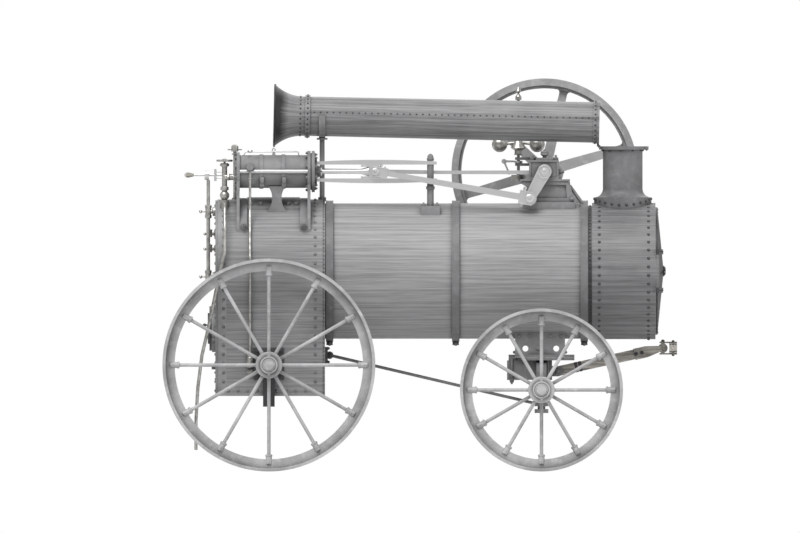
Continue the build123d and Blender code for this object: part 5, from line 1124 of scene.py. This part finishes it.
class ENGINE_OT_doors(bpy.types.Operator):
    """Handles, rims and strap rivets of the smokebox door and the fire door"""

    bl_idname = "engine.doors"
    bl_label = "Doors"

    def execute(self, context):
        front = low("smokebox_door").x
        door = Shape()
        door.turned((1509, 0, BOILER_Z), (1, 0, 0), [
            (0, 36), (5, 36), (8, 32), (8, 18), (15, 18), (18, 14), (19, 0)], 32)
        for side in (-1, 1):
            aim = Vector((0, side, side * 0.12)).normalized()
            start = Vector((1518, 0, BOILER_Z)) + aim * 14
            door.pipe([start, start + aim * 60, start + aim * 118], 6, 12, 5)
            door.turned(start + aim * 112, aim, [(0, 5), (4, 9), (14, 10), (20, 8), (22, 0)], 16)
        door.hollow((front, 0, BOILER_Z), (1, 0, 0), [
            (2, 411), (12, 411), (15, 408), (15, 396), (10, 392), (2, 400)], 96)
        door_radius, dish = 415, 38.0 / 385.0
        for z in (-125, 125):
            for y in (-360, -290, -220, -150, -90):
                x = front + 20 + (door_radius - hypot(y, z)) * dish
                door.rivet((x, y, BOILER_Z + z), (1, -0.05, 0), 9, 6)
        for angle in circle(44):
            place = Vector((front + 14, 0, BOILER_Z)) + radial(angle) * 404
            door.rivet(place, (1, 0, 0), 6, 4, 8)
        door.piece("smokebox_door_irons", "smokebox_door", "black_iron")

        fire = Shape()
        face = -1438.5
        fire.hollow((face, 0, FIRE_DOOR_Z), (-1, 0, 0), [
            (-2, 70), (-2, 78), (2, 78), (3, 76), (3, 72), (2, 70)], 40)
        for y in (40, 90, 140):
            fire.rivet((face - 10, y, FIRE_DOOR_Z), (-1, 0, 0), 8, 5)
        fire.piece("fire_door_irons", "fire_door", "black_iron")
        return {"FINISHED"}


class ENGINE_OT_stage(bpy.types.Operator):
    """Floor, lamps, sky and camera"""

    bl_idname = "engine.stage"
    bl_label = "Floor, light and camera"

    def execute(self, context):
        stage = context.scene.engine_stage
        half, middle_x, middle_z, distance = 14.0, -0.1284, 1.3325, 12.0
        corners = [(-half, -half, 0), (half, -half, 0), (half, half, 0), (-half, half, 0)]
        data = bpy.data.meshes.new("floor")
        data.from_pydata(corners, [], [(0, 1, 2, 3)])
        recipe = Finish("floor_paint")
        speck = recipe.noise(3.0, 3.0)
        tone = recipe.blend(speck * 0.15, opaque(stage.floor), opaque(stage.floor, 0.94))
        data.materials.append(recipe.surface(colour=tone, roughness=0.9 - speck * 0.1))
        ground = bpy.data.objects.new("floor", data)
        context.scene.collection.objects.link(ground)
        for name, share, softness, way in (("key_lamp", 1.0, 38, (0.28, 0.58, -1.0)),
                                           ("fill_lamp", 0.2, 60, (-1.0, 0.6, -0.4)),
                                           ("back_lamp", 0.33, 60, (-0.25, -1.0, -0.8))):
            lamp = bpy.data.lights.new(name, "SUN")
            lamp.energy, lamp.angle = stage.lamp_strength * share, radians(softness)
            holder = bpy.data.objects.new(name, lamp)
            holder.rotation_euler = Vector(way).to_track_quat("-Z", "Y").to_euler()
            context.scene.collection.objects.link(holder)
        world = bpy.data.worlds.new("sky")
        sky = Recipe(world)
        seen = sky.add("ShaderNodeLightPath", output="Is Camera Ray")
        through = sky.add("ShaderNodeLightPath", output="Is Transmission Ray")
        mirrored = sky.add("ShaderNodeLightPath", output="Is Glossy Ray")
        strength = seen.sum("MAXIMUM", seen, through) + mirrored * 0.42
        light = sky.add("ShaderNodeBackground", {
            "Color": (1, 1, 1, 1), "Strength": strength.sum("MAXIMUM", strength, stage.sky)})
        sky.add("ShaderNodeOutputWorld", {"Surface": light})
        context.scene.world = world
        context.scene.view_settings.view_transform = "Standard"
        camera = bpy.data.cameras.new("camera")
        camera.type, camera.ortho_scale = "ORTHO", stage.view_width
        camera.clip_end = 5 * distance
        seat = bpy.data.objects.new("camera", camera)
        seat.location = (middle_x, -distance, middle_z)
        seat.rotation_euler = (pi / 2, 0, 0)
        context.scene.collection.objects.link(seat)
        context.scene.camera = seat
        return {"FINISHED"}


class ENGINE_PT_panel(bpy.types.Panel):
    """Buttons for the engine's pieces"""

    bl_idname = "ENGINE_PT_panel"
    bl_label = "Portable engine"
    bl_space_type = "VIEW_3D"
    bl_region_type = "UI"
    bl_category = "Engine"

    def draw(self, context):
        for step in STEPS:
            self.layout.operator(step.bl_idname)


SETTINGS = {"engine_colours": EngineColours, "engine_fasteners": EngineFasteners,
            "engine_stage": EngineStage}
STEPS = (ENGINE_OT_stage, ENGINE_OT_finishes, ENGINE_OT_firebox_rivets, ENGINE_OT_smokebox_rivets,
         ENGINE_OT_chimney_base, ENGINE_OT_chimney, ENGINE_OT_bands, ENGINE_OT_cylinder,
         ENGINE_OT_motion, ENGINE_OT_crank, ENGINE_OT_governor, ENGINE_OT_fittings, ENGINE_OT_wheels,
         ENGINE_OT_carriage, ENGINE_OT_doors)


def register():
    for group in (*SETTINGS.values(), *STEPS, ENGINE_PT_panel):
        bpy.utils.register_class(group)
    for name, group in SETTINGS.items():
        setattr(bpy.types.Scene, name, PointerProperty(type=group))


def unregister():
    for name in SETTINGS:
        delattr(bpy.types.Scene, name)
    for group in (ENGINE_PT_panel, *reversed(STEPS), *reversed(list(SETTINGS.values()))):
        bpy.utils.unregister_class(group)


def main():
    register()
    for step in STEPS:
        family, name = step.bl_idname.split(".")
        getattr(getattr(bpy.ops, family), name)()


if __name__ == "__main__":
    main()
